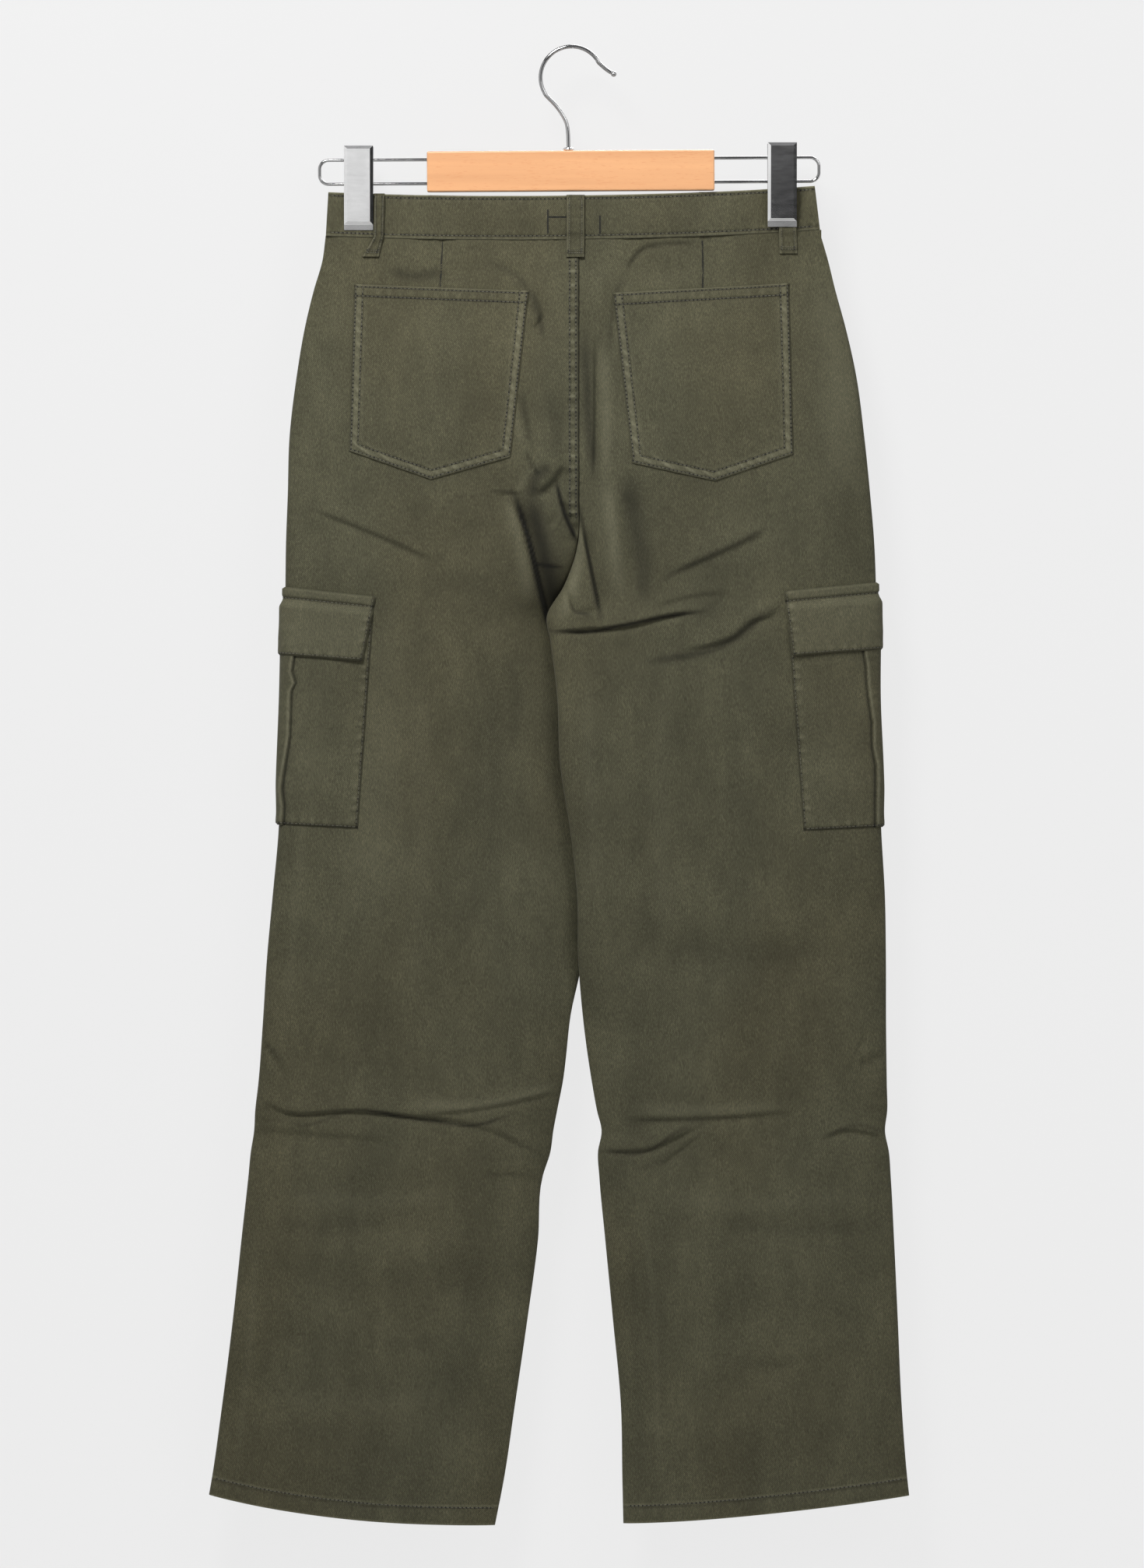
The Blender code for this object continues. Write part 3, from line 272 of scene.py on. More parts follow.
# Soft swells (+) and hollows (-) along a path.
SWELL_COLUMNS = ("points", "height", "width")
SWELL_ROWS = {
    ("back", "left"): (
        (((-140, -170), (-104, -176), (-70, -166)), -1.1, 8),
        (((-66, -160), (-52, -164), (-40, -170)), 0.8, 7),
        (((-206, -200), (-200, -250), (-204, -330)), -1.0, 10),
        (((-188, -190), (-184, -260), (-188, -340)), 1.0, 9),
        (((-226, -900), (-150, -908), (-60, -902)), -1.2, 16),
        (((-236, -934), (-160, -940), (-60, -936)), 1.0, 16),
        (((-244, -1000), (-170, -1008), (-80, -1000)), -1.0, 18),
        (((-256, -1060), (-180, -1066), (-90, -1058)), 0.9, 18),
        (((-220, -690), (-140, -700), (-40, -690)), 0.8, 18),
        (((-226, -740), (-150, -752), (-40, -744)), -0.8, 16),
        (((-16, -204), (-14, -250), (-17, -300)), 1.2, 8),
        (((-62, -350), (-50, -400), (-40, -460)), 1.6, 14),
        (((-130, -340), (-80, -356), (-60, -352)), 0.9, 18),
        (((-108, -420), (-104, -560), (-112, -700)), 1.4, 22),
        (((-64, -470), (-58, -600), (-60, -760)), -1.2, 20),
        (((-30, -480), (-26, -600), (-34, -720)), 1.2, 16),
        (((-150, -480), (-156, -620), (-160, -770)), -1.0, 22),
        (((-196, -620), (-200, -700), (-206, -790)), 1.0, 20),
        (((-190, -850), (-196, -940), (-206, -1060)), 1.3, 20),
        (((-146, -850), (-150, -950), (-160, -1080)), -1.2, 20),
        (((-96, -860), (-104, -960), (-116, -1070)), 1.2, 20),
        (((-54, -880), (-66, -980), (-82, -1090)), -0.9, 16),
        (((-230, -830), (-160, -836), (-90, -842)), 1.2, 11),
        (((-240, -872), (-170, -884), (-60, -880)), -0.9, 16),
    ),
    ("back", "right"): (
        (((29, -322), (30, -372), (31, -424)), 2.8, 8),
        (((48, -330), (49, -380), (44, -430)), -2.4, 10),
        (((100, -176), (130, -172), (160, -176)), -0.8, 9),
        (((60, -176), (76, -172), (90, -178)), -0.9, 8),
        (((24, -165), (22, -190), (18, -212)), 1.4, 7),
        (((40, -906), (130, -912), (230, -900)), -1.0, 16),
        (((50, -950), (130, -956), (236, -944)), 0.9, 16),
        (((110, -1010), (170, -1020), (240, -1000)), -1.2, 12),
        (((60, -1060), (150, -1066), (240, -1052)), 0.9, 18),
        (((60, -690), (140, -700), (230, -688)), -0.8, 16),
        (((80, -340), (74, -390), (60, -424)), 0.8, 14),
        (((24, -232), (27, -270), (28, -320)), 1.0, 7),
        (((26, -480), (34, -600), (44, -720)), 1.2, 18),
        (((76, -480), (84, -620), (88, -780)), -1.2, 22),
        (((128, -480), (134, -620), (138, -780)), 1.3, 22),
        (((182, -620), (186, -700), (190, -790)), -0.8, 20),
        (((100, -462), (60, -468), (10, -472)), -1.0, 12),
        (((70, -850), (80, -950), (96, -1080)), 1.3, 20),
        (((122, -850), (134, -960), (146, -1090)), -1.2, 22),
        (((180, -850), (190, -950), (204, -1080)), 1.2, 22),
        (((34, -870), (48, -980), (60, -1090)), -0.8, 14),
        (((40, -838), (110, -838), (180, -834)), 1.2, 10),
    ),
    ("front", "left"): (
        (((-110, -440), (-112, -620), (-124, -780)), 1.4, 24),
        (((-62, -460), (-66, -620), (-72, -760)), -1.2, 22),
        (((-150, -850), (-160, -960), (-176, -1080)), 1.4, 24),
    ),
    ("front", "right"): (
        (((70, -460), (80, -620), (88, -780)), 1.4, 24),
        (((130, -460), (138, -620), (146, -780)), -1.2, 22),
        (((130, -850), (140, -960), (152, -1080)), 1.4, 24),
    ),
}


def table(columns, rows):
    """Give the rows of a table as dictionaries."""
    return [dict(zip(columns, row)) for row in rows]


CREASES = {panel: table(CREASE_COLUMNS, rows) for panel, rows in CREASE_ROWS.items()}
SHADES = {panel: table(SHADE_COLUMNS, rows) for panel, rows in SHADE_ROWS.items()}
SWELLS = {panel: table(SWELL_COLUMNS, rows) for panel, rows in SWELL_ROWS.items()}

PATCH_COLUMNS = ("side", "inner_top", "outer_top", "inner_low", "point", "outer_low")
PATCHES = table(PATCH_COLUMNS, (
    ("left", (-34.2, -187.6), (-169.6, -182.0), (-48.2, -316.2), (-109.8, -333.6), (-173.3, -311.4)),
    ("right", (30.0, -189.2), (166.6, -181.2), (45.2, -321.0), (108.7, -334.7), (169.8, -313.8)),
))
PATCH_CELLS = (92, 100)
PATCH_HEM = 10.0                  # height of the doubled top edge

CARGO_COLUMNS = ("name", "side", "x_top", "z_top", "z_top_side", "x_low", "z_low", "z_low_side")
CARGO_PIECES = table(CARGO_COLUMNS, (
    ("cargo_pocket_left", "left", -154.2, -438.0, -430.0, -166.2, -602.6, -599.4),
    ("cargo_pocket_right", "right", 164.4, -434.0, -427.0, 177.3, -604.2, -601.2),
    ("cargo_flap_left", "left", -152.1, -423.6, -415.8, -162.6, -473.4, -468.6),
    ("cargo_flap_right", "right", 162.0, -419.4, -412.2, 168.6, -469.4, -464.4),
))
# Edge of the pleat's outer fold on the pocket: distance from the side seam by z.
PLEATS = {
    "left": ((-466, 9.0), (-481, 7.0), (-490, 9.8), (-497, 6.8), (-532, 7.0), (-564, 3.6),
             (-572, 3.0), (-586, 4.4), (-597, 4.0)),
    "right": ((-466, 10.6), (-478, 8.6), (-490, 8.0), (-520, 5.0), (-540, 5.6), (-554, 3.8),
              (-580, 4.6), (-597, 4.8)),
}

LOOP_COLUMNS = ("name", "face", "top", "bend", "low", "z_low", "stand")
BELT_LOOPS = table(LOOP_COLUMNS, (
    ("belt_loop_back", "back", (-5.4, 8.6), (-5.4, 8.6), (-5.8, 8.4), -161.4, 1.2),
    ("belt_loop_left_back", "back", (-154.2, -145.8), (-154.2, -146.6), (-163.2, -150.0), -160.8, 0.6),
    ("belt_loop_right_back", "back", (158.0, 172.0), (158.4, 172.4), (158.8, 173.2), -158.4, 0.0),
    ("belt_loop_left_front", "front", (-103.0, -89.0), (-103.0, -89.0), (-103.0, -89.0), -161.0, 1.0),
    ("belt_loop_right_front", "front", (97.0, 111.0), (97.0, 111.0), (97.0, 111.0), -160.0, 1.0),
))

# Hanger --------------------------------------------------------------------
HANGER_CENTRE = (-2.2, -94.7)
HANGER_TILT = math.radians(-0.35)
BAR_LENGTH = 222.0
RAIL_WIRE = 1.2
RAIL_HEIGHTS = (9.4, -9.1)
RAIL_ENDS = {"left": -194.0, "right": 191.8}
RAIL_CORNER = 7.0
RAIL_SEAT = 12.0
HOOK_WIRE = 1.5
HOOK_ARC_RADIUS = 24.0
HOOK_ARC_CENTRE = (-1.5, -22.5)
HOOK_ARC = (28.0, 216.0)
HOOK_TIP = ((31.0, -19.8), (25.8, -16.6))
HOOK_NECK = ((-12.8, -45.2), (-6.4, -55.4), (-4.4, -64.0), (-3.9, -78.0))
HOOK_BALL = 2.1
CLIP_CENTRES = {"left": -166.0, "right": 161.1}
CLIP_LIP = 4.2                    # height of the lower lip
CLIP_LEAN = 0.114                 # how far a plate leans out for each millimetre up
CLIP_BEVEL = 2.4
CLIP_RAISE = 0.55
SPRING_COIL = 3.3
SPRING_WIRE = 0.6
SPRING_TURNS = 9
SPRING_LENGTH = 17.0
WELD = 0.01                       # joins the faceted nodes' corners before the bevel
PLATE_BEVEL = 0.8

# Relief of the cloth -------------------------------------------------------
# Puckers of sewn edges: their height, how far inside the edge they are highest,
# their length and reach, and the angle that they start at.
PUCKERS = {
    "centre_strip": (0.7, -5.0, 8.8, 4.0, 0.0),
    "centre_plain": (0.35, 1.0, 8.8, 4.0, 1.0),
    "side_seam": (0.25, 3.0, 9.6, 6.0, 0.7),
    "hem": (0.22, -3.0, 10.0, 6.0, 0.4),
    "waist": (0.3, 0.0, 9.0, 5.0, 1.3),
    "patch_side": (1.0, 5.0, 8.8, 4.2, 1.7),
    "patch_top": (0.5, 6.0, 9.0, 4.5, 0.6),
    "cargo_side": (1.0, 3.5, 9.2, 3.6, 0.5),
    "cargo_low": (0.8, 3.5, 9.0, 3.6, 1.5),
}
BAND_PUCKERS = (8.0, 3.5)         # length and reach
BAND_PUCKER_HEIGHT = 0.22
PATCH_PUCKER_HEIGHT = 0.45
CARGO_PUCKER_HEIGHTS = {"pocket": 0.4, "flap": 0.3}
# Grooves along rows of stitches: depth and width.
GROOVES = {"hem": (0.5, 1.4), "band": (0.45, 1.1), "pocket": (0.42, 0.9), "flap": (0.4, 0.9)}
RELIEF_FULL = 7.0                 # fullness from which creases have their whole height
FRONT_WAVE_SHIFT = 40.0
CENTRE_RAISE = 0.9                # the centre seam's turned strip
CENTRE_STRIP = (-11.0, -9.4)      # where the strip rises, from the seam
CENTRE_SEAM_END = (-372.0, -360.0)
TUCK_END = (-394.0, -380.0)       # levels over which the front's tuck ends
DART_END = (-192.0, -184.0)
DART_SWELL = 0.5
DART_DEPTH = 1.1
FLY_RAISE = 0.6
FLY_EDGE = (1.2, 0.0)
FLY_END = (-336.0, -326.0)
# Painted shade along the front's inner edge.
FLY_SHADE = 0.7
HEM_RAISE = 0.6
# Painted highlight just above the hem's row of stitches and painted shade just under it.
HEM_SHADE = 0.45
HEM_WEAR = 1.59                   # wear for each millimetre of the puckers
CENTRE_WEAR = 1.43
WAIST_TUCK = 0.5                  # how far a panel dips under the waistband
CLIP_PRESS = (13.0, 24.0)         # distance from a clip over which the band springs back
# Cargo pockets, and more so their flaps, are a little paler all over.
CARGO_PALER = 0.05
FLAP_PALER = 0.16
CREASE_GAIN = 1.3
CREASE_STEEPNESS = 2.2
CREASE_FADE = 0.22                # share of a crease over which it rises from either end
SWELL_GAIN = 1.4
SWELL_FADE = 0.35
FADE_OVERRUN = 0.04
# Painted shade in the troughs of creases.
CREASE_SHADE = 0.10               # for each millimetre of a trough
CREASE_SHADE_AWAY = 0.4
CREASE_SHADE_WIDTH = 1.3
# Painted shade round the edges of sewn-on pieces.
SEWN_SHADE = 1.4                  # along the edges of sewn-on pieces
WAVINESS = 0.0034
WAVE_COUNT = 28
WAVE_SHORTEST = 26.0
WAVE_SPREAD = 80.0

# Sizes of the pieces -------------------------------------------------------
WAIST_LEVEL = -146.0              # level of a panel's first row
WAIST_RUN = 18.0                  # height over which the rows follow the waist
HEM_START = -1100.0
HEM_LEVEL = -1140.0
BAND_REACH = 190.0
BAND_ROUNDING = 1.0
BAND_ROWS = 30
BAND_CELL = 1.8
BAND_STITCHES = (2.6, 31.0)       # rows of stitches, below the top edge
BAND_STRETCHES = (
    ("waistband_back", "back", -BAND_REACH, BAND_REACH),
    ("waistband_front_left", "front", -BAND_REACH, BAND_END - SEAM_GAP / 2),
    ("waistband_front_right", "front", BAND_END + SEAM_GAP / 2, BAND_REACH),
)
LABEL_TACKS = (
    ((-19.8, -124.8), (-19.8, -142.8)),
    ((-19.8, -130.6), (-4.8, -130.6)),
    ((20.4, -129.6), (20.4, -142.8)),
)
CENTRE_STITCHES = (7.2, 2.4)      # rows of stitches, from the centre back seam
DARTS = {
    "left": ((-101.4, -149.0), (-102.0, -166.0), (-103.0, -184.0)),
    "right": ((99.4, -149.0), (99.9, -168.0), (99.6, -188.0)),
}
LOOP_CLOTH = 1.6
LOOP_CELLS = (34, 17)             # rows and columns of points
LOOP_ROWS = (0.22, 0.78)          # rows of stitches, by the share across
LOOP_TACKS = (0.055, 0.90, 0.935)     # bar tacks, by the share down
PIECE_GAP = 0.1                   # between a panel and what is sewn on it
PATCH_CLOTH = 1.7
PATCH_SWELL = 1.3                 # how far a back pocket's middle stands out
PATCH_SWELL_RUN = (8.0, 48.0)
PATCH_ROWS = (1.7, 7.0)           # rows of stitches, from a back pocket's edge
PATCH_TOP_ROWS = (2.0, 9.2)
POCKET_CLOTH = 1.5
POCKET_SWELL = 1.1
POCKET_SWELL_RUN = (5.0, 34.0)
POCKET_STITCH = 1.6
PLEAT_CLOTH = 1.0
FLAP_CLOTH = 1.6
FLAP_STRIP_RAISE = 0.8
CARGO_CELLS = {"pocket": (112, 64), "flap": (40, 64)}
FLAP_STRIP = 7.0                  # height of the folded strip at a flap's top
FLAP_ROW = FLAP_STRIP + 0.9       # row of stitches under the strip
FLAP_STITCH = 1.7

# Stitches ------------------------------------------------------------------
STITCH_ENDS = (0.6, 0.5)          # free stretch at a line's start and end, in pitches
STITCH_JITTER = 0.05
STITCH_PITCH = 3.2
STITCH_LENGTH = 2.2
STITCH_RADIUS = 0.30
STITCH_LIFT = 0.16
# Needle holes are flat dark discs of painted shade, and folds are rows of them set close together.
HOLE_SHADE_SIZE = 0.80
FOLD_SHADE_PITCH = 0.8
FOLD_SHADE_ENDS = (0.5, 0.0)
HOLE_SHADE_LIFT = 0.07
HOLE_SHADE_CORNERS = ((1.0, 0.0), (0.5, 0.85), (-0.5, 0.85), (-1.0, 0.0), (-0.5, -0.85), (0.5, -0.85))
RAY_START = 80.0
STITCH_SIDES = 6
# Rings of a stitch: share of the way to its end, thickness and how deep it sinks.
STITCH_SHAPE = (
    (-1.0, 0.35, 0.30), (-0.72, 0.9, 0.10), (0.0, 1.0, 0.0), (0.72, 0.9, 0.10), (1.0, 0.35, 0.30),
)

# Finishes, linear colours --------------------------------------------------
TWILL_TURN = math.radians(45.0)
TWILL_SCALE = 285.0               # ribs 1.1 mm apart
TWILL_DARK = (0.030, 0.0287, 0.0172)
TWILL_MID = (0.0635, 0.0612, 0.0366)
TWILL_LIGHT = (0.136, 0.131, 0.0800)
TWILL_BROWN = (1.0, 0.93, 0.86)
# Worn dye, also used for painted highlights, then painted shade for creases, seams and hollows.
TWILL_WORN_AND_HIGHLIGHT = (0.190, 0.184, 0.122)
TWILL_PAINTED_SHADE = (0.009, 0.0085, 0.006)
THREAD_DARK = (0.034, 0.032, 0.020)
THREAD_LIGHT = (0.100, 0.095, 0.060)
# Painted shade of the needle holes.
HOLE_SHADE_DARK = (0.006, 0.006, 0.004)
HOLE_SHADE_LIGHT = (0.016, 0.015, 0.010)
BUTTON_DARK = (0.030, 0.027, 0.020)
BUTTON_LIGHT = (0.085, 0.075, 0.055)
WOOD_DARK = (0.56, 0.275, 0.124)
WOOD_MID = (0.63, 0.318, 0.148)
WOOD_LIGHT = (0.69, 0.360, 0.170)
WOOD_FLECK = (0.55, 0.21, 0.075)

# Room and light ------------------------------------------------------------
ROOM = 3000.0
# Walls: start and end seen from above.
WALLS = (
    ((-ROOM, WALL_Y), (ROOM, WALL_Y)), ((ROOM, ROOM), (ROOM, -ROOM)),
    ((ROOM, -ROOM), (-ROOM, -ROOM)), ((-ROOM, -ROOM), (-ROOM, ROOM)),
)
WALL_COLOR = (0.055, 0.055, 0.055)
FLOOR_COLOR = (0.80, 0.80, 0.79)
# Lights: name, place in metres, size and power.
LIGHTS = (
    ("key", (-0.55, -1.2, 1.05), 0.6, 44.0),
    ("fill", (1.3, -1.5, 0.7), 1.0, 13.0),
    ("behind", (0.5, 1.6, 0.9), 1.0, 34.0),
)
WORLD_COLOR = (0.98, 0.98, 1.0)
WORLD_STRENGTH = 0.24
WALL_GLOW = 0.785
CARD_COLOR = (0.02, 0.02, 0.02)
CARD_Y = -2400.0
CARD_SIDE = 1500.0
CARD_GLOW = 0.95
# Cards: name, start and end seen from above, lower and upper edge, and glow.
CARDS = (
    ("dark_card", (140.0, CARD_Y), (CARD_SIDE, CARD_Y), -1100.0, 500.0, 0.0),
    ("bright_card", (-CARD_SIDE, CARD_Y), (-140.0, CARD_Y), -1100.0, 500.0, CARD_GLOW),
    ("side_card", (-CARD_SIDE, -CARD_SIDE), (-CARD_SIDE, CARD_SIDE), -1000.0, 1000.0, CARD_GLOW),
    ("side_card", (CARD_SIDE, -CARD_SIDE), (CARD_SIDE, CARD_SIDE), -1000.0, 1000.0, CARD_GLOW),
)


# Form of the cloth ---------------------------------------------------------
def smooth(low, high, value):
    """Rise smoothly from 0 at low to 1 at high, in either direction."""
    share = np.clip((np.asarray(value, float) - low) / (high - low), 0.0, 1.0)
    return share * share * (3.0 - 2.0 * share)


def bell(distance, width):
    """Soft hump of height 1."""
    return np.exp(-np.square(distance / width))


def through(levels, values, z):
    """Smooth curve through a table's values; levels go down."""
    levels, values = levels[::-1], values[::-1]
    slopes = np.gradient(values, levels)
    z = np.clip(z, levels[0], levels[-1])
    index = np.clip(np.searchsorted(levels, z) - 1, 0, len(levels) - 2)
    step = levels[index + 1] - levels[index]
    t = (z - levels[index]) / step
    start = (1 + 2 * t) * (1 - t) ** 2 * values[index] + t * (1 - t) ** 2 * step * slopes[index]
    end = t * t * (3 - 2 * t) * values[index + 1] + t * t * (t - 1) * step * slopes[index + 1]
    return start + end


def section(z, column):
    """One column of the section table at heights z."""
    return through(SECTIONS["z"], SECTIONS[column], np.asarray(z, float))


def overlap(z):
    """1 where the right leg lies in front of the left one, 0 elsewhere."""
    return smooth(*OVERLAP_TOP, z) * smooth(*OVERLAP_LOW, z)


def inseam(face, side, z):
    """x of a panel's inner edge, where one panel may reach under the other."""
    if side == "left":
        return section(z, "left_inseam") - SEAM_GAP / 2 + LEG_UNDER * overlap(z)
    under = FRONT_TUCK * smooth(*TUCK_END, z) if face == "front" else 0.0
    return section(z, "right_inseam") + SEAM_GAP / 2 - under


def waist_line(x):
    """Height of the waistband's top edge, which sags between the clips."""
    return WAIST_TOP + WAIST_SLOPE * x - WAIST_SAG * (1.0 - (x / WAIST_HALF) ** 2)


def band_side(side, z):
    """x of the waistband's end at the side, which leans out downwards."""
    top, lean = BAND_SIDES[side]
    return top + lean * (waist_line(0.0) - z) / BAND_HEIGHT


def band_shape(x):
    """Fullness of the waist: 1 at the middle, 0 from the clips outwards."""
    return 1.0 - smooth(*BAND_FLATTENS, np.abs(x - CENTRE_SEAM))


def band_depth(x):
    """Outer half depth of the waistband at x."""
    return BAND_PINCHED + (BAND_FULL - BAND_PINCHED) * band_shape(x)


def rounded(x, inner, outer):
    """Fullness of a round section whose edges are at inner and outer."""
    across = (x - 0.5 * (inner + outer)) / (0.5 * (outer - inner))
    return np.maximum(0.0, 1.0 - across * across) ** LENS_POWER


def base_fullness(face, side, x, z):
    """Half depth of the pants beyond the flat seam, without creases."""
    seat_round = rounded(x, section(z, "left_side"), section(z, "right_side"))
    leg_round = rounded(x, inseam(face, side, z), section(z, side + "_side"))
    legs = smooth(*CROTCH_BLEND, z)
    roundness = (1.0 - legs) * seat_round + legs * leg_round
    body = smooth(*BODY_BLEND, z)
    roundness = (1.0 - body) * band_shape(x) + body * roundness
    depth = (1.0 - legs) * section(z, "seat") + legs * section(z, "leg")
    if face == "front":
        depth = depth * (1.0 - body * (1.0 - FRONT_FULLNESS))
    return np.maximum(0.0, depth - EDGE_DEPTH) * roundness


def curve_through(points, steps=14):
    """Catmull-Rom curve through points, as an array."""
    points = np.array(points, float)
    if len(points) == 2:
        return points[0] + np.linspace(0, 1, steps)[:, None] * (points[1] - points[0])
    ends = np.vstack([2 * points[0] - points[1], points, 2 * points[-1] - points[-2]])
    t = np.linspace(0, 1, steps, endpoint=False)[:, None]
    made = []
    for a, b, c, d in zip(ends, ends[1:], ends[2:], ends[3:]):
        made.append(0.5 * (2 * b + (c - a) * t + (2 * a - 5 * b + 4 * c - d) * t ** 2
                           + (3 * b - a - 3 * c + d) * t ** 3))
    return np.vstack(made + [points[-1:]])


def from_path(x, z, points, reach):
    """Signed distance to a path (left is positive) and the share along it."""
    line = curve_through(points)
    starts, steps = line[:-1], np.diff(line, axis=0)
    lengths = np.hypot(steps[:, 0], steps[:, 1])
    travelled = np.concatenate([[0.0], np.cumsum(lengths)])
    away = np.full(x.shape, 1e3)
    share = np.zeros(x.shape)
    low, high = line.min(0) - reach, line.max(0) + reach
    near = (x > low[0]) & (x < high[0]) & (z > low[1]) & (z < high[1])
    px, pz = x[near][:, None], z[near][:, None]
    if px.size == 0:
        return away, share
    raw = ((px - starts[:, 0]) * steps[:, 0] + (pz - starts[:, 1]) * steps[:, 1]) / lengths ** 2
    t = np.clip(raw, 0.0, 1.0)
    dx = px - starts[:, 0] - t * steps[:, 0]
    dz = pz - starts[:, 1] - t * steps[:, 1]
    distance = np.hypot(dx, dz)
    best = distance.argmin(1)
    rows = np.arange(len(best))
    side = np.sign(steps[best, 0] * dz[rows, best] - steps[best, 1] * dx[rows, best])
    away[near] = distance[rows, best] * np.where(side == 0, 1.0, side)
    overrun = np.where(best == 0, np.minimum(raw[rows, 0], 0) * lengths[0], 0.0)
    last = len(lengths) - 1
    overrun += np.where(best == last, np.maximum(raw[rows, last] - 1, 0) * lengths[last], 0.0)
    share[near] = (travelled[best] + t[rows, best] * lengths[best] + overrun) / travelled[-1]
    return away, share


def fade(share, ends=CREASE_FADE):
    """Strength along a crease: none at its ends, full between them."""
    return smooth(-FADE_OVERRUN, ends, share) * smooth(1.0 + FADE_OVERRUN, 1.0 - ends, share)


def creases(face, side, x, z):
    """Height of all creases and swells of one panel."""
    total = np.zeros(x.shape)
    for row in CREASES[face, side]:
        away, share = from_path(x, z, row["points"], 3 * max(row["reach"], row["width"]))
        above = 1.0 / (1.0 + np.exp(-np.clip(away / row["edge"] * CREASE_STEEPNESS, -40, 40)))
        height = row["ridge"] * bell(away, row["reach"]) * above
        height = height - row["trough"] * bell(away, row["width"]) * (1.0 - above)
        total = total + CREASE_GAIN * height * fade(share)
    for row in SWELLS[face, side]:
        away, share = from_path(x, z, row["points"], 3 * row["width"])
        strength = fade(share, SWELL_FADE)
        total = total + SWELL_GAIN * row["height"] * bell(away, row["width"]) * strength
    return total


def crease_painted_shading(face, side, x, z):
    """Painted shade along the creases of one panel, and the painted shade and highlights of its shade rows.
    """
    total = np.zeros(x.shape)
    for row in CREASES[face, side]:
        away, share = from_path(x, z, row["points"], 6.0)
        line = bell(away + CREASE_SHADE_AWAY, CREASE_SHADE_WIDTH)
        total = total - CREASE_SHADE * row["trough"] * line * fade(share)
    for row in SHADES[face, side]:
        away, share = from_path(x, z, row["points"], 3 * row["width"])
        total = total + row["wear_and_painted_shading"] * bell(away, row["width"]) * fade(share)
    return total


WAVES = RNG.uniform(0, 1, (WAVE_COUNT, 4))     # turn, size, shift and strength of each


def unevenness(x, z):
    """Slight all-over waviness of cloth that has been worn and washed."""
    total = np.zeros(np.broadcast(x, z).shape)
    for index, (turn, size, shift, strength) in enumerate(WAVES):
        length = WAVE_SHORTEST + WAVE_SPREAD * size
        angle = (turn - 0.5) * math.pi
        upright = index % 2
        across_x = x * math.cos(angle) * (1.0 if upright else 0.3)
        across = across_x + z * math.sin(angle) * (0.35 if upright else 1.0)
        total = total + (0.3 + strength) * np.sin(2 * math.pi * (across / length + shift)) * length
    return total * WAVINESS


def ripple(along, away, length, reach, start):
    """Ripples from -1 to 1 that a tight row of stitches pulls into the cloth."""
    wander = 0.9 * np.sin(2 * math.pi * along / (length * 3.7) + 2.0 * start)
    swing = 0.8 + 0.2 * np.sin(2 * math.pi * along / (length * 5.3) + 3.0 * start)
    return np.sin(2 * math.pi * along / length + start + wander) * swing * bell(away, reach)


def puckers(place, along, away):
    """Height of one sewn edge's puckers, by the distance from the edge."""
    height, inset, length, reach, start = PUCKERS[place]
    return height * ripple(along, away - inset, length, reach, start)


def groove(place, distance):
    """Depth of the groove that a row of stitches presses into a piece."""
    depth, width = GROOVES[place]
    return depth * bell(distance, width)


def worn(ripples, edges):
    """How much the dye is worn: on the tops of ripples and along edges."""
    return np.clip(0.85 * np.clip(ripples, 0.0, 1.0) ** 1.5 + edges, 0.0, 1.0)


def hem_line(side, across):
    """Height of a leg's lower edge, by the share of the way to the side."""
    hem = HEMS[side]
    return hem["z_inseam"] + hem["rise"] * np.clip(across, 0.0, 1.0) ** hem["power"]


def above_hem(face, side, x, z):
    """Height of a panel's points above the leg's lower edge."""
    inner = inseam(face, side, z)
    across = (x - inner) / (section(z, side + "_side") - inner)
    return z - hem_line(side, across)


def seam_relief(face, side, x, z):
    """Relief of the sewn lines that belong to a panel."""
    seam = x - section(z, side + "_inseam")
    above_crotch = smooth(*CENTRE_SEAM_END, z)
    height = np.zeros(x.shape)
    if face == "back" and side == "left":
        height = height + CENTRE_RAISE * smooth(*CENTRE_STRIP, seam) * above_crotch
        height = height + puckers("centre_strip", z, seam) * above_crotch
    elif face == "back":
        height = height + puckers("centre_plain", z, seam) * above_crotch
    elif side == "left":
        height = height + FLY_RAISE * smooth(*FLY_EDGE, seam) * smooth(*FLY_END, z)
    if face == "back":
        from_dart = x - DARTS[side][1][0]
        dart = smooth(*DART_END, z)
        pinched = DART_SWELL * bell(from_dart + 4.0, 4.0) - DART_DEPTH * bell(from_dart, 1.8)
        height = height + pinched * dart
    edge = np.minimum(np.abs(x - section(z, side + "_side")), 40.0)
    return height + puckers("side_seam", z, edge)


def panel_depth(face, side, x, z):
    """Outer half depth of the finished panel, creases and seams included."""
    full = base_fullness(face, side, x, z)
    waves = unevenness(x + (FRONT_WAVE_SHIFT if face == "front" else 0.0), z)
    relief = (creases(face, side, x, z) + waves) * smooth(0.0, RELIEF_FULL, full)
    relief = relief + seam_relief(face, side, x, z)
    above = above_hem(face, side, x, z)
    folded = smooth(HEM_DEPTH + 0.8, HEM_DEPTH - 0.6, above)
    relief = relief + HEM_RAISE * folded - groove("hem", above - HEM_DEPTH)
    relief = relief + puckers("hem", x, above - HEM_DEPTH)
    below_band = waist_line(x) - BAND_HEIGHT - z
    relief = relief - WAIST_TUCK * smooth(3.0, 0.0, below_band)
    relief = relief + puckers("waist", x, below_band)
    return EDGE_DEPTH + np.maximum(0.0, full + relief)


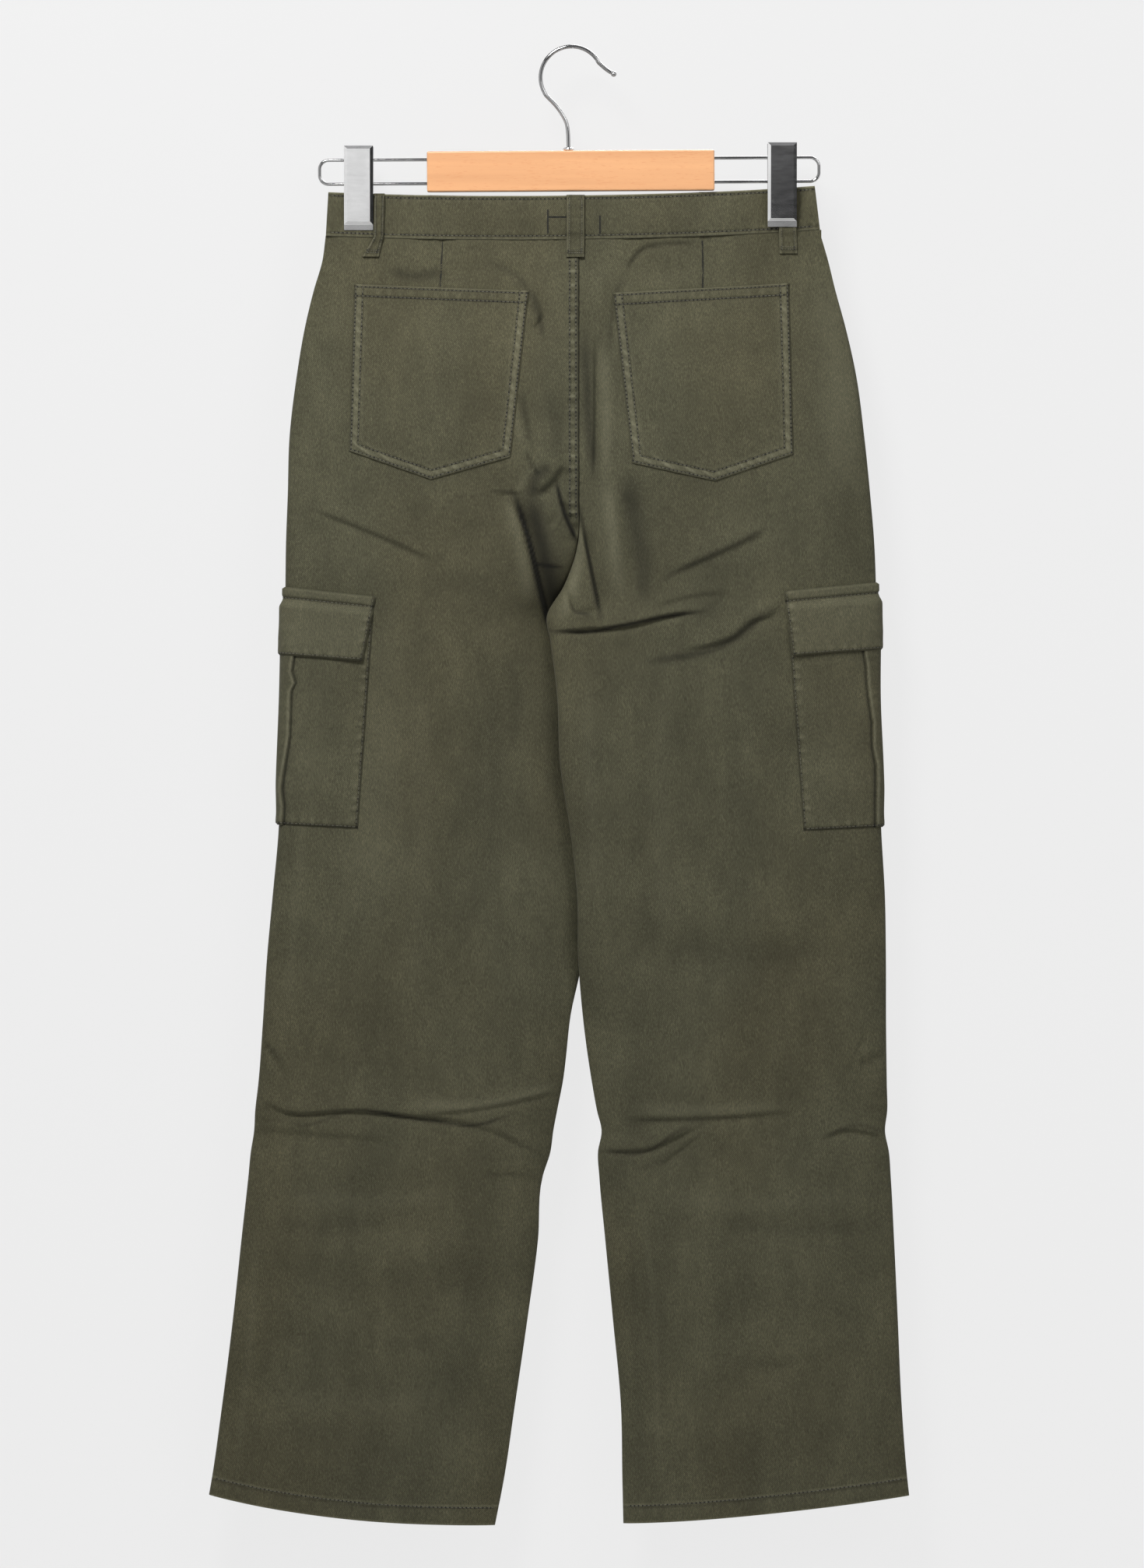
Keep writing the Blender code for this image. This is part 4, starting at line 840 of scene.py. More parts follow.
def panel_wear_and_painted_shading(face, side, x, z):
    """Where a panel's dye is worn (+), with painted highlights (+) and painted shade (-) at the hem, the
    seams and the creases.
    """
    above = above_hem(face, side, x, z) - HEM_DEPTH
    wear_and_painted_shading = worn(HEM_WEAR * puckers("hem", x, above), 0.5 * smooth(1.6, 0.0, above + HEM_DEPTH))
    # Painted highlight just above the hem's row of stitches and painted shade just under it.
    wear_and_painted_shading = wear_and_painted_shading + HEM_SHADE * (bell(above - 0.9, 0.9) - bell(above + 1.3, 0.9))
    if face == "back" and side == "left":
        seam = x - section(z, "left_inseam")
        roped = CENTRE_WEAR * puckers("centre_strip", z, seam) * smooth(*CENTRE_STRIP, seam)
        sewn = sum(bell(seam + away, 0.8) for away in CENTRE_STITCHES)
        # The strip's puckers are worn; its rows of stitches and the seam itself get painted shade.
        strip = worn(roped, 0.0) - 0.35 * sewn - bell(seam, 1.0)
        wear_and_painted_shading = wear_and_painted_shading + strip * smooth(*CENTRE_SEAM_END, z)
    # Painted shade along the front panels' inner edge, above the crotch.
    if face == "front":
        from_inner = x - inseam(face, side, z)
        wear_and_painted_shading = wear_and_painted_shading - FLY_SHADE * bell(from_inner, 0.9) * smooth(*TUCK_END, z)
    return np.clip(wear_and_painted_shading + crease_painted_shading(face, side, x, z), -1.0, 1.0)


def outward(face):
    """Direction of a face along Y."""
    return -1.0 if face == "back" else 1.0


def cloth_y(face, side, x, z):
    """y of a panel's outer surface."""
    shift = overlap(z) * bell(x - inseam(face, side, z), OVERLAP_REACH) * LEG_SHIFT
    middle = shift if side == "left" else -shift
    return middle + outward(face) * panel_depth(face, side, x, z)


# Mesh helpers --------------------------------------------------------------
def unit(vectors):
    """Vectors of length 1."""
    return vectors / np.linalg.norm(vectors, axis=-1)[..., None]


def path_normals(path):
    """Unit vectors to the left of each row of points, in the XY plane."""
    along_x, along_y = np.gradient(path[..., 0], axis=1), np.gradient(path[..., 1], axis=1)
    size = np.maximum(np.hypot(along_x, along_y), 1e-9)
    return np.stack([-along_y / size, along_x / size, np.zeros_like(size)], axis=-1)


def grid_faces(rows, columns, first, flip):
    """Quads between the points of a grid."""
    row, column = np.meshgrid(np.arange(rows - 1), np.arange(columns - 1), indexing="ij")
    corner = first + row * columns + column
    quads = np.stack([corner, corner + 1, corner + columns + 1, corner + columns], axis=-1)
    quads = quads.reshape(-1, 4)
    return quads[:, ::-1] if flip else quads


def ring_faces(rings, sides):
    """Quads between rings of points that follow each other."""
    faces = []
    for low in range(0, (rings - 1) * sides, sides):
        high = low + sides
        for corner in range(sides):
            after = (corner + 1) % sides
            faces.append((low + corner, low + after, high + after, high + corner))
    return faces


def new_object(name, vertices, faces, material):
    """Make a mesh object from arrays in millimetres."""
    mesh = bpy.data.meshes.new(name)
    mesh.from_pydata((np.asarray(vertices) * MM).tolist(), [], list(faces))
    mesh.update()
    mesh.materials.append(material)
    made = bpy.data.objects.new(name, mesh)
    bpy.context.scene.collection.objects.link(made)
    mesh.shade_smooth()
    return made


def grid_wall(name, outer, inner, material, wear_and_painted_shading):
    """Closed wall between an outer and an inner grid of points, with its wear and painted shading."""
    rows, columns = outer.shape[:2]
    count = rows * columns
    vertices = np.vstack([outer.reshape(-1, 3), inner.reshape(-1, 3)])
    faces = [grid_faces(rows, columns, 0, False), grid_faces(rows, columns, count, True)]
    index = np.arange(count).reshape(rows, columns)
    rim = np.concatenate([index[0, :-1], index[:-1, -1], index[-1, :0:-1], index[:0:-1, 0]])
    after = np.roll(rim, -1)
    faces.append(np.stack([rim, rim + count, after + count, after], axis=-1))
    made = new_object(name, vertices, np.vstack(faces).tolist(), material)
    made.data.set_sharp_from_angle(angle=math.radians(62.0))
    layer = made.data.attributes.new("wear_and_painted_shading", "FLOAT", "POINT")
    layer.data.foreach_set("value", np.tile(wear_and_painted_shading.reshape(-1), 2).astype(np.float32))
    return made


def round_edge(distance, radius):
    """Height share of a rounded edge, 0 at the edge and 1 from radius inwards."""
    inside = np.clip(1.0 - distance / radius, 0.0, 1.0)
    return np.sqrt(np.maximum(0.0, 1.0 - inside * inside))


def declare(piece, nodes=()):
    """Tie a piece to the body and hide the CAD nodes it stands for."""
    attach(piece, BODY)
    if nodes:
        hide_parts(*nodes)
    return piece


# Cloth pieces --------------------------------------------------------------
def across_shares(count):
    """Shares from 0 to 1, closer together at both ends."""
    even = np.linspace(0.0, 1.0, count)
    crowded = 0.5 - 0.5 * np.cos(math.pi * even)
    return (1.0 - CROWDING) * even + CROWDING * crowded


def row_levels(face):
    """Levels of a panel's rows, before they follow the waist and the hem."""
    stretches = [np.arange(top, bottom, -step * ROW_SKIP[face]) for top, bottom, step in ROW_STRETCHES]
    return np.concatenate(stretches + [[HEM_LEVEL]])


def panel_grid(face, side):
    """Outer grid of one panel, from the waist seam to the hem."""
    level = row_levels(face)[:, None]
    across = across_shares(PANEL_CELLS[face] + 1)[None, :] ** INSEAM_CLOSENESS
    waist_x = CENTRE_SEAM + across * (section(WAIST_LEVEL, side + "_side") - CENTRE_SEAM)
    waist_z = waist_line(waist_x) - BAND_HEIGHT - SEAM_GAP
    near_waist = np.clip(1.0 - (WAIST_LEVEL - level) / WAIST_RUN, 0.0, 1.0)
    near_hem = np.clip((HEM_START - level) / (HEM_START - HEM_LEVEL), 0.0, 1.0)
    z = level + (waist_z - WAIST_LEVEL) * near_waist + (hem_line(side, across) - HEM_LEVEL) * near_hem
    inner = inseam(face, side, z)
    x = inner + across * (section(z, side + "_side") - inner)
    grid = np.stack([x, cloth_y(face, side, x, z), z], axis=-1)
    return grid[:, ::-1] if (face == "back") == (side == "right") else grid


def inner_grid(outer, face, cloth):
    """Inner side of a wall, moved straight in by the cloth's thickness."""
    inner = outer.copy()
    inner[..., 1] -= outward(face) * cloth
    return inner


def build_panel(face, side, finishes):
    """Make one back or front panel with its stitches."""
    name = f"{face}_{side}"
    outer = panel_grid(face, side)
    wear_and_painted_shading = panel_wear_and_painted_shading(face, side, outer[..., 0], outer[..., 2])
    piece = grid_wall("cloth_" + name, outer, inner_grid(outer, face, PANEL_CLOTH), finishes["twill"], wear_and_painted_shading)
    declare(piece, [name])
    lines = [hem_stitches(face, side)]
    if face == "back" and side == "left":
        lines += [level_offset(z_from=-149.0, z_to=-364.0, away=-away) for away in CENTRE_STITCHES]
    if face == "front" and side == "left":
        lines.append(curve_through(FLY_STITCHES))
    # Darts show as a thin line of painted shade.
    fold_shades = lay_on(piece, [curve_through(DARTS[side])], face) if face == "back" else ()
    return piece, stitch_piece("stitches_" + name, lay_on(piece, lines, face), finishes, fold_shades=fold_shades)


def hem_stitches(face, side):
    """Line (x, z) of the hem's stitches."""
    across = np.linspace(0.012, 0.985, 160)
    z = hem_line(side, across) + HEM_DEPTH
    inner = inseam(face, side, z)
    x = inner + across * (section(z, side + "_side") - inner)
    return np.stack([x, z], axis=-1)


def level_offset(z_from, z_to, away):
    """Line (x, z) beside the centre back seam."""
    z = np.linspace(z_from, z_to, 120)
    return np.stack([section(z, "left_inseam") + away, z], axis=-1)


def band_y(face, x, z):
    """y of the waistband's outer surface."""
    below_top = waist_line(x) - z
    above_low = BAND_HEIGHT - below_top
    edge = round_edge(np.clip(np.minimum(below_top, above_low), 0.0, 9.0), BAND_ROUNDING)
    free = np.ones(x.shape)
    for clip_x in CLIP_CENTRES.values():
        free = free * smooth(*CLIP_PRESS, np.abs(x - clip_x))
    relief = 0.45 * bell(below_top - 0.5 * BAND_HEIGHT, 8.0) + 0.8 * unevenness(x * 1.4, z * 1.4)
    for row in BAND_STITCHES:
        relief = relief - groove("band", below_top - row)
        relief = relief + BAND_PUCKER_HEIGHT * ripple(x, below_top - row, *BAND_PUCKERS, row)
    return outward(face) * (band_depth(x) - BAND_ROUNDING * (1.0 - edge) + relief * free)


def band_wear_and_painted_shading(x, z):
    """Where the waistband's dye is worn (+), with painted shade (-) along its rows of stitches."""
    below_top = waist_line(x) - z
    rippled = sum(ripple(x, below_top - row, *BAND_PUCKERS, row) for row in BAND_STITCHES)
    wear_and_painted_shading = worn(0.6 * rippled, smooth(1.5, 0.0, np.minimum(below_top, BAND_HEIGHT - below_top)))
    return wear_and_painted_shading - 0.5 * sum(bell(below_top - row, 0.8) for row in BAND_STITCHES)


def build_band(name, face, x_from, x_to, finishes):
    """Make one stretch of the waistband with its stitches."""
    drop = across_shares(BAND_ROWS)[:, None]
    across = across_shares(int((x_to - x_from) / BAND_CELL))[None, :]
    x = x_from + (x_to - x_from) * across + 0.0 * drop
    z = waist_line(x) - drop * BAND_HEIGHT
    for side, bound in (("left", -BAND_REACH), ("right", BAND_REACH)):
        if bound in (x_from, x_to):
            x = x + (band_side(side, z) - bound) * smooth(24.0, 0.0, np.abs(x - bound))
    outer = np.stack([x, band_y(face, x, z), z], axis=-1)
    inner = np.stack([x, outward(face) * (band_depth(x) - BAND_CLOTH), z], axis=-1)
    if face == "back":
        outer, inner = outer[:, ::-1], inner[:, ::-1]
    wear_and_painted_shading = band_wear_and_painted_shading(outer[..., 0], outer[..., 2])
    piece = grid_wall("cloth_" + name, outer, inner, finishes["twill"], wear_and_painted_shading)
    declare(piece, [name])
    line_x = np.linspace(x_from + 2.0, x_to - 2.0, 260)
    lines = [np.stack([line_x, waist_line(line_x) - row], axis=-1) for row in BAND_STITCHES]
    # The label's tacks show as thin lines of painted shade.
    tacks = [curve_through(line) for line in LABEL_TACKS] if face == "back" else []
    return piece, stitch_piece("stitches_" + name, lay_on(piece, lines, face), finishes,
                               fold_shades=lay_on(piece, tacks, face))


def loop_depth(loop, x, z):
    """Half depth of what lies under a belt loop."""
    side = "left" if loop["low"][0] < 0.0 else "right"
    band_low = waist_line(x) - BAND_HEIGHT
    on_band = smooth(band_low - 5.0, band_low + 0.5, z)
    panel = panel_depth(loop["face"], side, x, np.minimum(z, band_low))
    return panel + on_band * np.maximum(band_depth(x) + 0.2 - panel, 0.0)


def loop_grid(loop):
    """x and z of a belt loop's points, and their distances from its edges."""
    bend_z = waist_line(sum(loop["bend"]) / 2) - BAND_HEIGHT + 1.0
    top_z = waist_line(sum(loop["top"]) / 2) + 0.3
    heights = np.array([loop["z_low"], bend_z, top_z])
    rows, columns = LOOP_CELLS
    z = np.linspace(top_z, loop["z_low"], rows)[:, None] + np.zeros((1, columns))
    left, right = (np.interp(z, heights, [loop[key][end] for key in ("low", "bend", "top")])
                   for end in (0, 1))
    across = across_shares(columns)[None, :]
    width = right - left
    facts = {"width": width, "edge": np.minimum(across, 1.0 - across) * width,
             "top": top_z - z, "low": z - loop["z_low"], "bend": z - bend_z}
    return left + across * width, z, facts


def loop_heights(loop, x, z, facts):
    """Half depths of a belt loop's inner and outer side."""
    stand = loop["stand"] * smooth(0.0, 8.0, facts["top"]) * smooth(-1.0, 6.0, facts["bend"])
    base = loop_depth(loop, x, z) + stand + 0.15
    from_end = np.minimum(facts["top"], facts["low"])
    crown = LOOP_CLOTH * round_edge(np.minimum(facts["edge"], from_end + 0.5), 1.3)
    crown = crown + 0.45 * bell(facts["edge"] - LOOP_ROWS[0] * facts["width"], 0.16 * facts["width"])
    crown = crown - 0.6 * bell(facts["low"] - 2.6, 2.0) - 0.4 * bell(facts["top"] - 2.4, 2.0)
    crown = crown + 0.18 * np.sin(2 * math.pi * z / 6.5) * smooth(0.0, 2.0, facts["edge"])
    return base, base + np.maximum(crown, 0.25)


def loop_wear_and_painted_shading(facts):
    """Where a belt loop's dye is worn (+), with painted shade (-) round its edges, along its stitches and
    near its lower end.
    """
    wear_and_painted_shading = worn(0.0, 0.9 * smooth(1.8, 0.0, facts["edge"]))
    wear_and_painted_shading = wear_and_painted_shading - 0.5 * bell(facts["edge"] - LOOP_ROWS[0] * facts["width"], 0.5)
    wear_and_painted_shading = wear_and_painted_shading - SEWN_SHADE * bell(facts["edge"], 0.4)
    return wear_and_painted_shading - 0.4 * bell(facts["low"] - 3.2, 0.8)


def build_loop(loop, finishes):
    """Make one belt loop with its two rows of stitches and its bar tacks."""
    x, z, facts = loop_grid(loop)
    low, high = loop_heights(loop, x, z, facts)
    sign = outward(loop["face"])
    outer = np.stack([x, sign * high, z], axis=-1)
    inner = np.stack([x, sign * low, z], axis=-1)
    wear_and_painted_shading = loop_wear_and_painted_shading(facts)
    if loop["face"] == "back":
        outer, inner, wear_and_painted_shading = outer[:, ::-1], inner[:, ::-1], wear_and_painted_shading[:, ::-1]
    piece = grid_wall("cloth_" + loop["name"], outer, inner, finishes["twill"], wear_and_painted_shading)
    declare(piece, [loop["name"]])
    normals = grid_normals(outer)
    rows, columns = LOOP_CELLS
    along = np.linspace(0.04, 0.96, 60) * (rows - 1)
    across = np.linspace(0.06, 0.94, 24) * (columns - 1)
    lines = [grid_line(outer, normals, along, share * (columns - 1)) for share in LOOP_ROWS]
    lines += [grid_line(outer, normals, share * (rows - 1), across) for share in LOOP_TACKS]
    return piece, stitch_piece("stitches_" + loop["name"], lines, finishes, pitch=2.0)


def patch_corners(patch):
    """Corners of a back pocket, in order round it."""
    return [np.array(patch[key]) for key in ("inner_top", "outer_top", "outer_low", "point", "inner_low")]


def patch_distances(patch, x, z):
    """Distances inwards from a back pocket's top and from its nearest sewn edge."""
    corners = patch_corners(patch)
    middle = sum(corners) / len(corners)
    distances = []
    for start, end in zip(corners, corners[1:] + corners[:1]):
        run = unit(end - start)
        away = (x - start[0]) * run[1] - (z - start[1]) * run[0]
        sign = np.sign((middle[0] - start[0]) * run[1] - (middle[1] - start[1]) * run[0])
        distances.append(sign * away)
    return distances[0], np.minimum.reduce(distances[1:])


def patch_ripples(x, z, top, sides):
    """Ripples along a back pocket's sewn edges."""
    below_hem = smooth(PATCH_HEM - 2.0, PATCH_HEM + 2.0, top)
    along_sides = puckers("patch_side", z + 0.8 * x, sides) * below_hem
    return along_sides + puckers("patch_top", x, top)


def patch_y(patch, x, z):
    """y of a back pocket's outer surface."""
    top, sides = patch_distances(patch, x, z)
    nearest = np.clip(np.minimum(top, sides), 0.0, 60.0)
    height = PATCH_CLOTH * round_edge(nearest, PATCH_CLOTH)
    height = height + PATCH_SWELL * smooth(*PATCH_SWELL_RUN, nearest)
    height = height + 0.6 * smooth(PATCH_HEM + 0.6, PATCH_HEM - 0.6, top)
    for row in PATCH_ROWS:
        height = height - groove("pocket", sides - row) * smooth(0.0, 4.0, top)
    for row in PATCH_TOP_ROWS:
        height = height - groove("pocket", top - row)
    height = height + PATCH_PUCKER_HEIGHT * patch_ripples(x, z, top, sides)
    return cloth_y("back", patch["side"], x, z) - PIECE_GAP - np.maximum(height, 0.05)


def patch_wear_and_painted_shading(patch, x, z):
    """Where a back pocket's dye is worn (+), with painted shade (-) round its edges and along its stitches.
    """
    top, sides = patch_distances(patch, x, z)
    nearest = np.minimum(top, sides)
    wear_and_painted_shading = worn(0.85 * patch_ripples(x, z, top, sides), smooth(1.7, 0.0, nearest))
    wear_and_painted_shading = wear_and_painted_shading - SEWN_SHADE * bell(nearest, 0.5) + 0.3 * smooth(12.0, 4.0, sides)
    wear_and_painted_shading = wear_and_painted_shading - 0.6 * sum(bell(sides - row, 0.75) for row in PATCH_ROWS)
    return wear_and_painted_shading - 0.6 * sum(bell(top - row, 0.75) for row in PATCH_TOP_ROWS)


def patch_grid(patch):
    """x and z of a back pocket's points."""
    columns, rows = PATCH_CELLS
    drop = across_shares(rows + 1)[:, None, None]
    across = np.linspace(0.0, 1.0, columns + 1)
    start, end = np.array(patch["inner_top"]), np.array(patch["outer_top"])
    top = start + across[:, None] * (end - start)
    corners = np.array([patch["inner_low"], patch["point"], patch["outer_low"]])
    low = np.stack([np.interp(across, (0.0, 0.5, 1.0), column) for column in corners.T], axis=-1)
    flat = top + drop * (low - top)
    return flat[..., 0], flat[..., 1]


def patch_lines(patch):
    """Lines (x, z) of a back pocket's stitches: two rows round it, two along its top."""
    corners = patch_corners(patch)
    lines = [inset_line(corners[1:] + corners[:1], row, PATCH_HEM * 0.1) for row in PATCH_ROWS]
    start, end = corners[0], corners[1]
    pull = np.array([2.0 * np.sign(end[0] - start[0]), 0.0])
    for row in PATCH_TOP_ROWS:
        down = np.array([0.0, -row])
        lines.append(curve_through([start + down + pull, end + down - pull], 80))
    return lines


def build_patch(patch, finishes):
    """Make one back pocket with its double row of stitches."""
    x, z = patch_grid(patch)
    if patch["side"] == "right":
        x, z = x[:, ::-1], z[:, ::-1]
    outer = np.stack([x, patch_y(patch, x, z), z], axis=-1)
    inner = np.stack([x, cloth_y("back", patch["side"], x, z) - PIECE_GAP, z], axis=-1)
    name = "back_pocket_" + patch["side"]
    piece = grid_wall("cloth_" + name, outer, inner, finishes["twill"], patch_wear_and_painted_shading(patch, x, z))
    declare(piece, [name])
    lines = lay_on(piece, patch_lines(patch), "back")
    return piece, stitch_piece("stitches_" + name, lines, finishes)


def inset_line(corners, inset, end_gap):
    """Open line (x, z) inside a run of corners, at a distance from its edges."""
    corners = [np.asarray(corner, float) for corner in corners]
    middle = sum(corners) / len(corners)
    edges = []
    for start, end in zip(corners, corners[1:]):
        run = unit(end - start)
        normal = np.array([run[1], -run[0]])
        normal = normal * np.sign(np.dot(middle - start, normal))
        edges.append((start + normal * inset, run))
    points = [edges[0][0] + edges[0][1] * end_gap]
    for (a, run_a), (b, run_b) in zip(edges, edges[1:]):
        steps = np.linalg.solve(np.stack([run_a, -run_b], axis=-1), b - a)
        points.append(a + run_a * steps[0])
    last_start, last_run = edges[-1]
    reach = np.hypot(*(corners[-1] - corners[-2])) - end_gap
    points.append(last_start + last_run * reach)
    line = [curve_through([a, b], 70)[:-1] for a, b in zip(points, points[1:])]
    return np.vstack(line + [points[-1][None]])


def wrap_grid(piece, rows, columns):
    """Level paths round the side seam, with the distances from the edges."""
    drop = np.linspace(0.0, 1.0, rows)[:, None]
    share = np.sin(0.5 * math.pi * np.linspace(0.0, 1.0, columns))[None, :]
    z_top = piece["z_top"] + share * (piece["z_top_side"] - piece["z_top"])
    z_low = piece["z_low"] + share * (piece["z_low_side"] - piece["z_low"])
    z = z_top + drop * (z_low - z_top)
    edge = piece["x_top"] + drop * (piece["x_low"] - piece["x_top"])
    x = edge + share * (section(z, piece["side"] + "_side") - edge)
    facts = {"edge": np.abs(x - edge), "top": z_top - z, "low": z - z_low,
             "seam": np.abs(x - section(z, piece["side"] + "_side")), "z": z}
    halves = [np.stack([x, outward(face) * panel_depth(face, piece["side"], x, z), z], axis=-1)
              for face in ("back", "front")]
    if piece["side"] == "right":
        halves = halves[::-1]
    path = np.concatenate([halves[0], halves[1][:, ::-1]], axis=1)
    facts = {key: np.concatenate([value, value[:, ::-1]], axis=1) for key, value in facts.items()}
    return path, facts


def cargo_ripples(facts):
    """Ripples along the sewn edges of a cargo pocket or flap."""
    sides = puckers("cargo_side", facts["z"], facts["edge"])
    return sides + puckers("cargo_low", facts["seam"], facts["low"])


def pleat_line(piece, z):
    """Distance of a cargo pocket's pleat from the side seam."""
    z_line, distance = np.array(PLEATS[piece["side"]]).T
    return np.interp(z, z_line[::-1], distance[::-1])


def cargo_heights(piece, facts):
    """Outer and inner height of a cargo pocket over the panels."""
    fold = pleat_line(piece, facts["z"])
    pleat = smooth(fold + 0.35, fold - 0.35, facts["seam"])
    nearest = np.minimum(facts["edge"], np.minimum(facts["low"], facts["top"] + 1.0))
    outer = POCKET_CLOTH * round_edge(nearest, POCKET_CLOTH)
    outer = outer + POCKET_SWELL * smooth(*POCKET_SWELL_RUN, nearest)
    for edge in ("edge", "low"):
        outer = outer - groove("pocket", facts[edge] - POCKET_STITCH)
    outer = outer + CARGO_PUCKER_HEIGHTS["pocket"] * cargo_ripples(facts)
    outer = outer + PLEAT_CLOTH * pleat - 0.5 * bell(facts["seam"] - fold - 1.2, 1.1)
    return np.maximum(outer, 0.1) + 0.15, np.full(outer.shape, PIECE_GAP)


def flap_heights(facts):
    """Outer and inner height of a cargo flap, which lies over its pocket."""
    top = facts["top"]
    over = 0.15 + 2.5 * smooth(9.0, 16.0, top) + 1.0 * smooth(24.0, 52.0, top)
    nearest = np.minimum(facts["edge"], np.minimum(facts["low"], top))
    strip = smooth(FLAP_STRIP + 0.5, FLAP_STRIP - 0.5, top) * smooth(0.0, 1.5, top)
    crown = FLAP_CLOTH * round_edge(nearest, 1.4) + FLAP_STRIP_RAISE * strip
    crown = crown - groove("flap", top - FLAP_ROW)
    for edge in ("edge", "low"):
        crown = crown - groove("flap", facts[edge] - FLAP_STITCH)
    crown = crown + CARGO_PUCKER_HEIGHTS["flap"] * cargo_ripples(facts)
    crown = crown + 0.5 * smooth(4.0, 16.0, nearest)
    return over + np.maximum(crown, 0.2), over


def cargo_wear_and_painted_shading(piece, facts, inset):
    """Where a cargo pocket's or flap's dye is worn (+), with painted shade (-) round its edges, along its
    stitches and under a flap's strip, and painted shade and a painted highlight at a pocket's pleat.
    """
    is_flap = inset == FLAP_STITCH
    nearest = np.minimum(facts["edge"], facts["low"])
    if is_flap:
        nearest = np.minimum(nearest, facts["top"])
    wear_and_painted_shading = worn(0.7 * cargo_ripples(facts), smooth(1.5, 0.0, nearest))
    wear_and_painted_shading = wear_and_painted_shading - SEWN_SHADE * bell(nearest, 0.5)
    wear_and_painted_shading = wear_and_painted_shading - 0.5 * (bell(facts["edge"] - inset, 0.7) + bell(facts["low"] - inset, 0.7))
    if is_flap:
        return wear_and_painted_shading + FLAP_PALER - 0.8 * bell(facts["top"] - FLAP_ROW, 0.8)
    from_fold = facts["seam"] - pleat_line(piece, facts["z"])
    return wear_and_painted_shading + CARGO_PALER - 0.9 * bell(from_fold - 0.6, 0.8) + 0.6 * bell(from_fold + 1.2, 0.9)


def cargo_lines(piece, outer, inset):
    """Stitch lines of a cargo pocket or flap, as points and normals."""
    rows, last = outer.shape[0] - 1, outer.shape[1] - 1
    height = piece["z_top"] - piece["z_low"]
    width = abs(section(piece["z_low"], piece["side"] + "_side") - piece["x_low"])
    column = (last // 2) * np.arcsin(inset / width) / (0.5 * math.pi)
    low_row = (1.0 - inset / height) * rows
    up_down = np.linspace(0.03 * rows, low_row, 120)
    from_side = np.linspace(column, last - column, 220)
    places = [(up_down, column), (up_down, last - column), (low_row, from_side)]
    if inset == FLAP_STITCH:
        places.append((FLAP_ROW / height * rows, from_side))
    normals = grid_normals(outer)
    return [grid_line(outer, normals, *place) for place in places]


def build_cargo(piece, finishes):
    """Make one cargo pocket or flap with its stitches."""
    kind = "flap" if "flap" in piece["name"] else "pocket"
    inset = FLAP_STITCH if kind == "flap" else POCKET_STITCH
    path, facts = wrap_grid(piece, *CARGO_CELLS[kind])
    high, low = flap_heights(facts) if kind == "flap" else cargo_heights(piece, facts)
    normals = path_normals(path)
    outer, inner = path + normals * high[..., None], path + normals * low[..., None]
    wear_and_painted_shading = cargo_wear_and_painted_shading(piece, facts, inset)
    made = grid_wall("cloth_" + piece["name"], outer, inner, finishes["twill"], wear_and_painted_shading)
    declare(made, [piece["name"]])
    lines = cargo_lines(piece, outer, inset)
    return made, stitch_piece("stitches_" + piece["name"], lines, finishes)


# Stitches ------------------------------------------------------------------
def lay_on(piece, lines, face):
    """Put lines (x, z) on the outer side of a piece; give points and normals."""
    corners = [vertex.co for vertex in piece.data.vertices]
    tree = BVHTree.FromPolygons(corners, [polygon.vertices for polygon in piece.data.polygons])
    inward = Vector((0.0, -outward(face), 0.0))
    laid = []
    for line in lines:
        points, normals = [], []
        for x, z in line:
            start = Vector((x * MM, outward(face) * RAY_START * MM, z * MM))
            place, normal, _, _ = tree.ray_cast(start, inward)
            if place is not None:
                points.append(place)
                normals.append(normal if normal.dot(inward) < 0.0 else -normal)
        laid.append((np.array(points) / MM, np.array(normals)))
    return laid


def grid_normals(grid):
    """Outward normals of a grid whose columns and rows run as the walls' do."""
    down, along = np.gradient(grid, axis=0), np.gradient(grid, axis=1)
    normals = np.cross(down, along)
    return normals / np.maximum(np.linalg.norm(normals, axis=-1), 1e-9)[..., None]


def grid_line(grid, normals, rows, columns):
    """Line through a grid at fractional rows and columns, with its normals."""
    rows, columns = np.broadcast_arrays(rows, columns)
    row = np.clip(np.floor(rows).astype(int), 0, grid.shape[0] - 2)
    column = np.clip(np.floor(columns).astype(int), 0, grid.shape[1] - 2)
    down, along = (rows - row)[:, None], (columns - column)[:, None]

    def sample(values):
        upper = values[row, column] * (1 - along) + values[row, column + 1] * along
        lower = values[row + 1, column] * (1 - along) + values[row + 1, column + 1] * along
        return upper * (1 - down) + lower * down

    return sample(grid), unit(sample(normals))


def resample(points, normals, centres):
    """Points and normals at the given lengths along a line."""
    lengths = np.concatenate([[0.0], np.cumsum(np.linalg.norm(np.diff(points, axis=0), axis=1))])
    place, up = (np.stack([np.interp(centres, lengths, column) for column in values.T], axis=-1)
                 for values in (points, normals))
    return place, unit(up)


def places_along(lines, pitch, ends, jitter=0.0):
    """Places at a pitch along lines: the middle, along, up and beside of each."""
    places = []
    for points, normals in lines:
        length = np.linalg.norm(np.diff(points, axis=0), axis=1).sum()
        at = np.arange(ends[0] * pitch, length - ends[1] * pitch, pitch)
        if jitter:
            at = at + RNG.normal(0.0, jitter, len(at))
        middle, up = resample(points, normals, at)
        ahead, _ = resample(points, normals, at + 0.4 * pitch)
        behind, _ = resample(points, normals, at - 0.4 * pitch)
        along = unit(ahead - behind)
        places.append(np.stack([middle, along, up, unit(np.cross(along, up))]))
    return np.concatenate(places, axis=1)


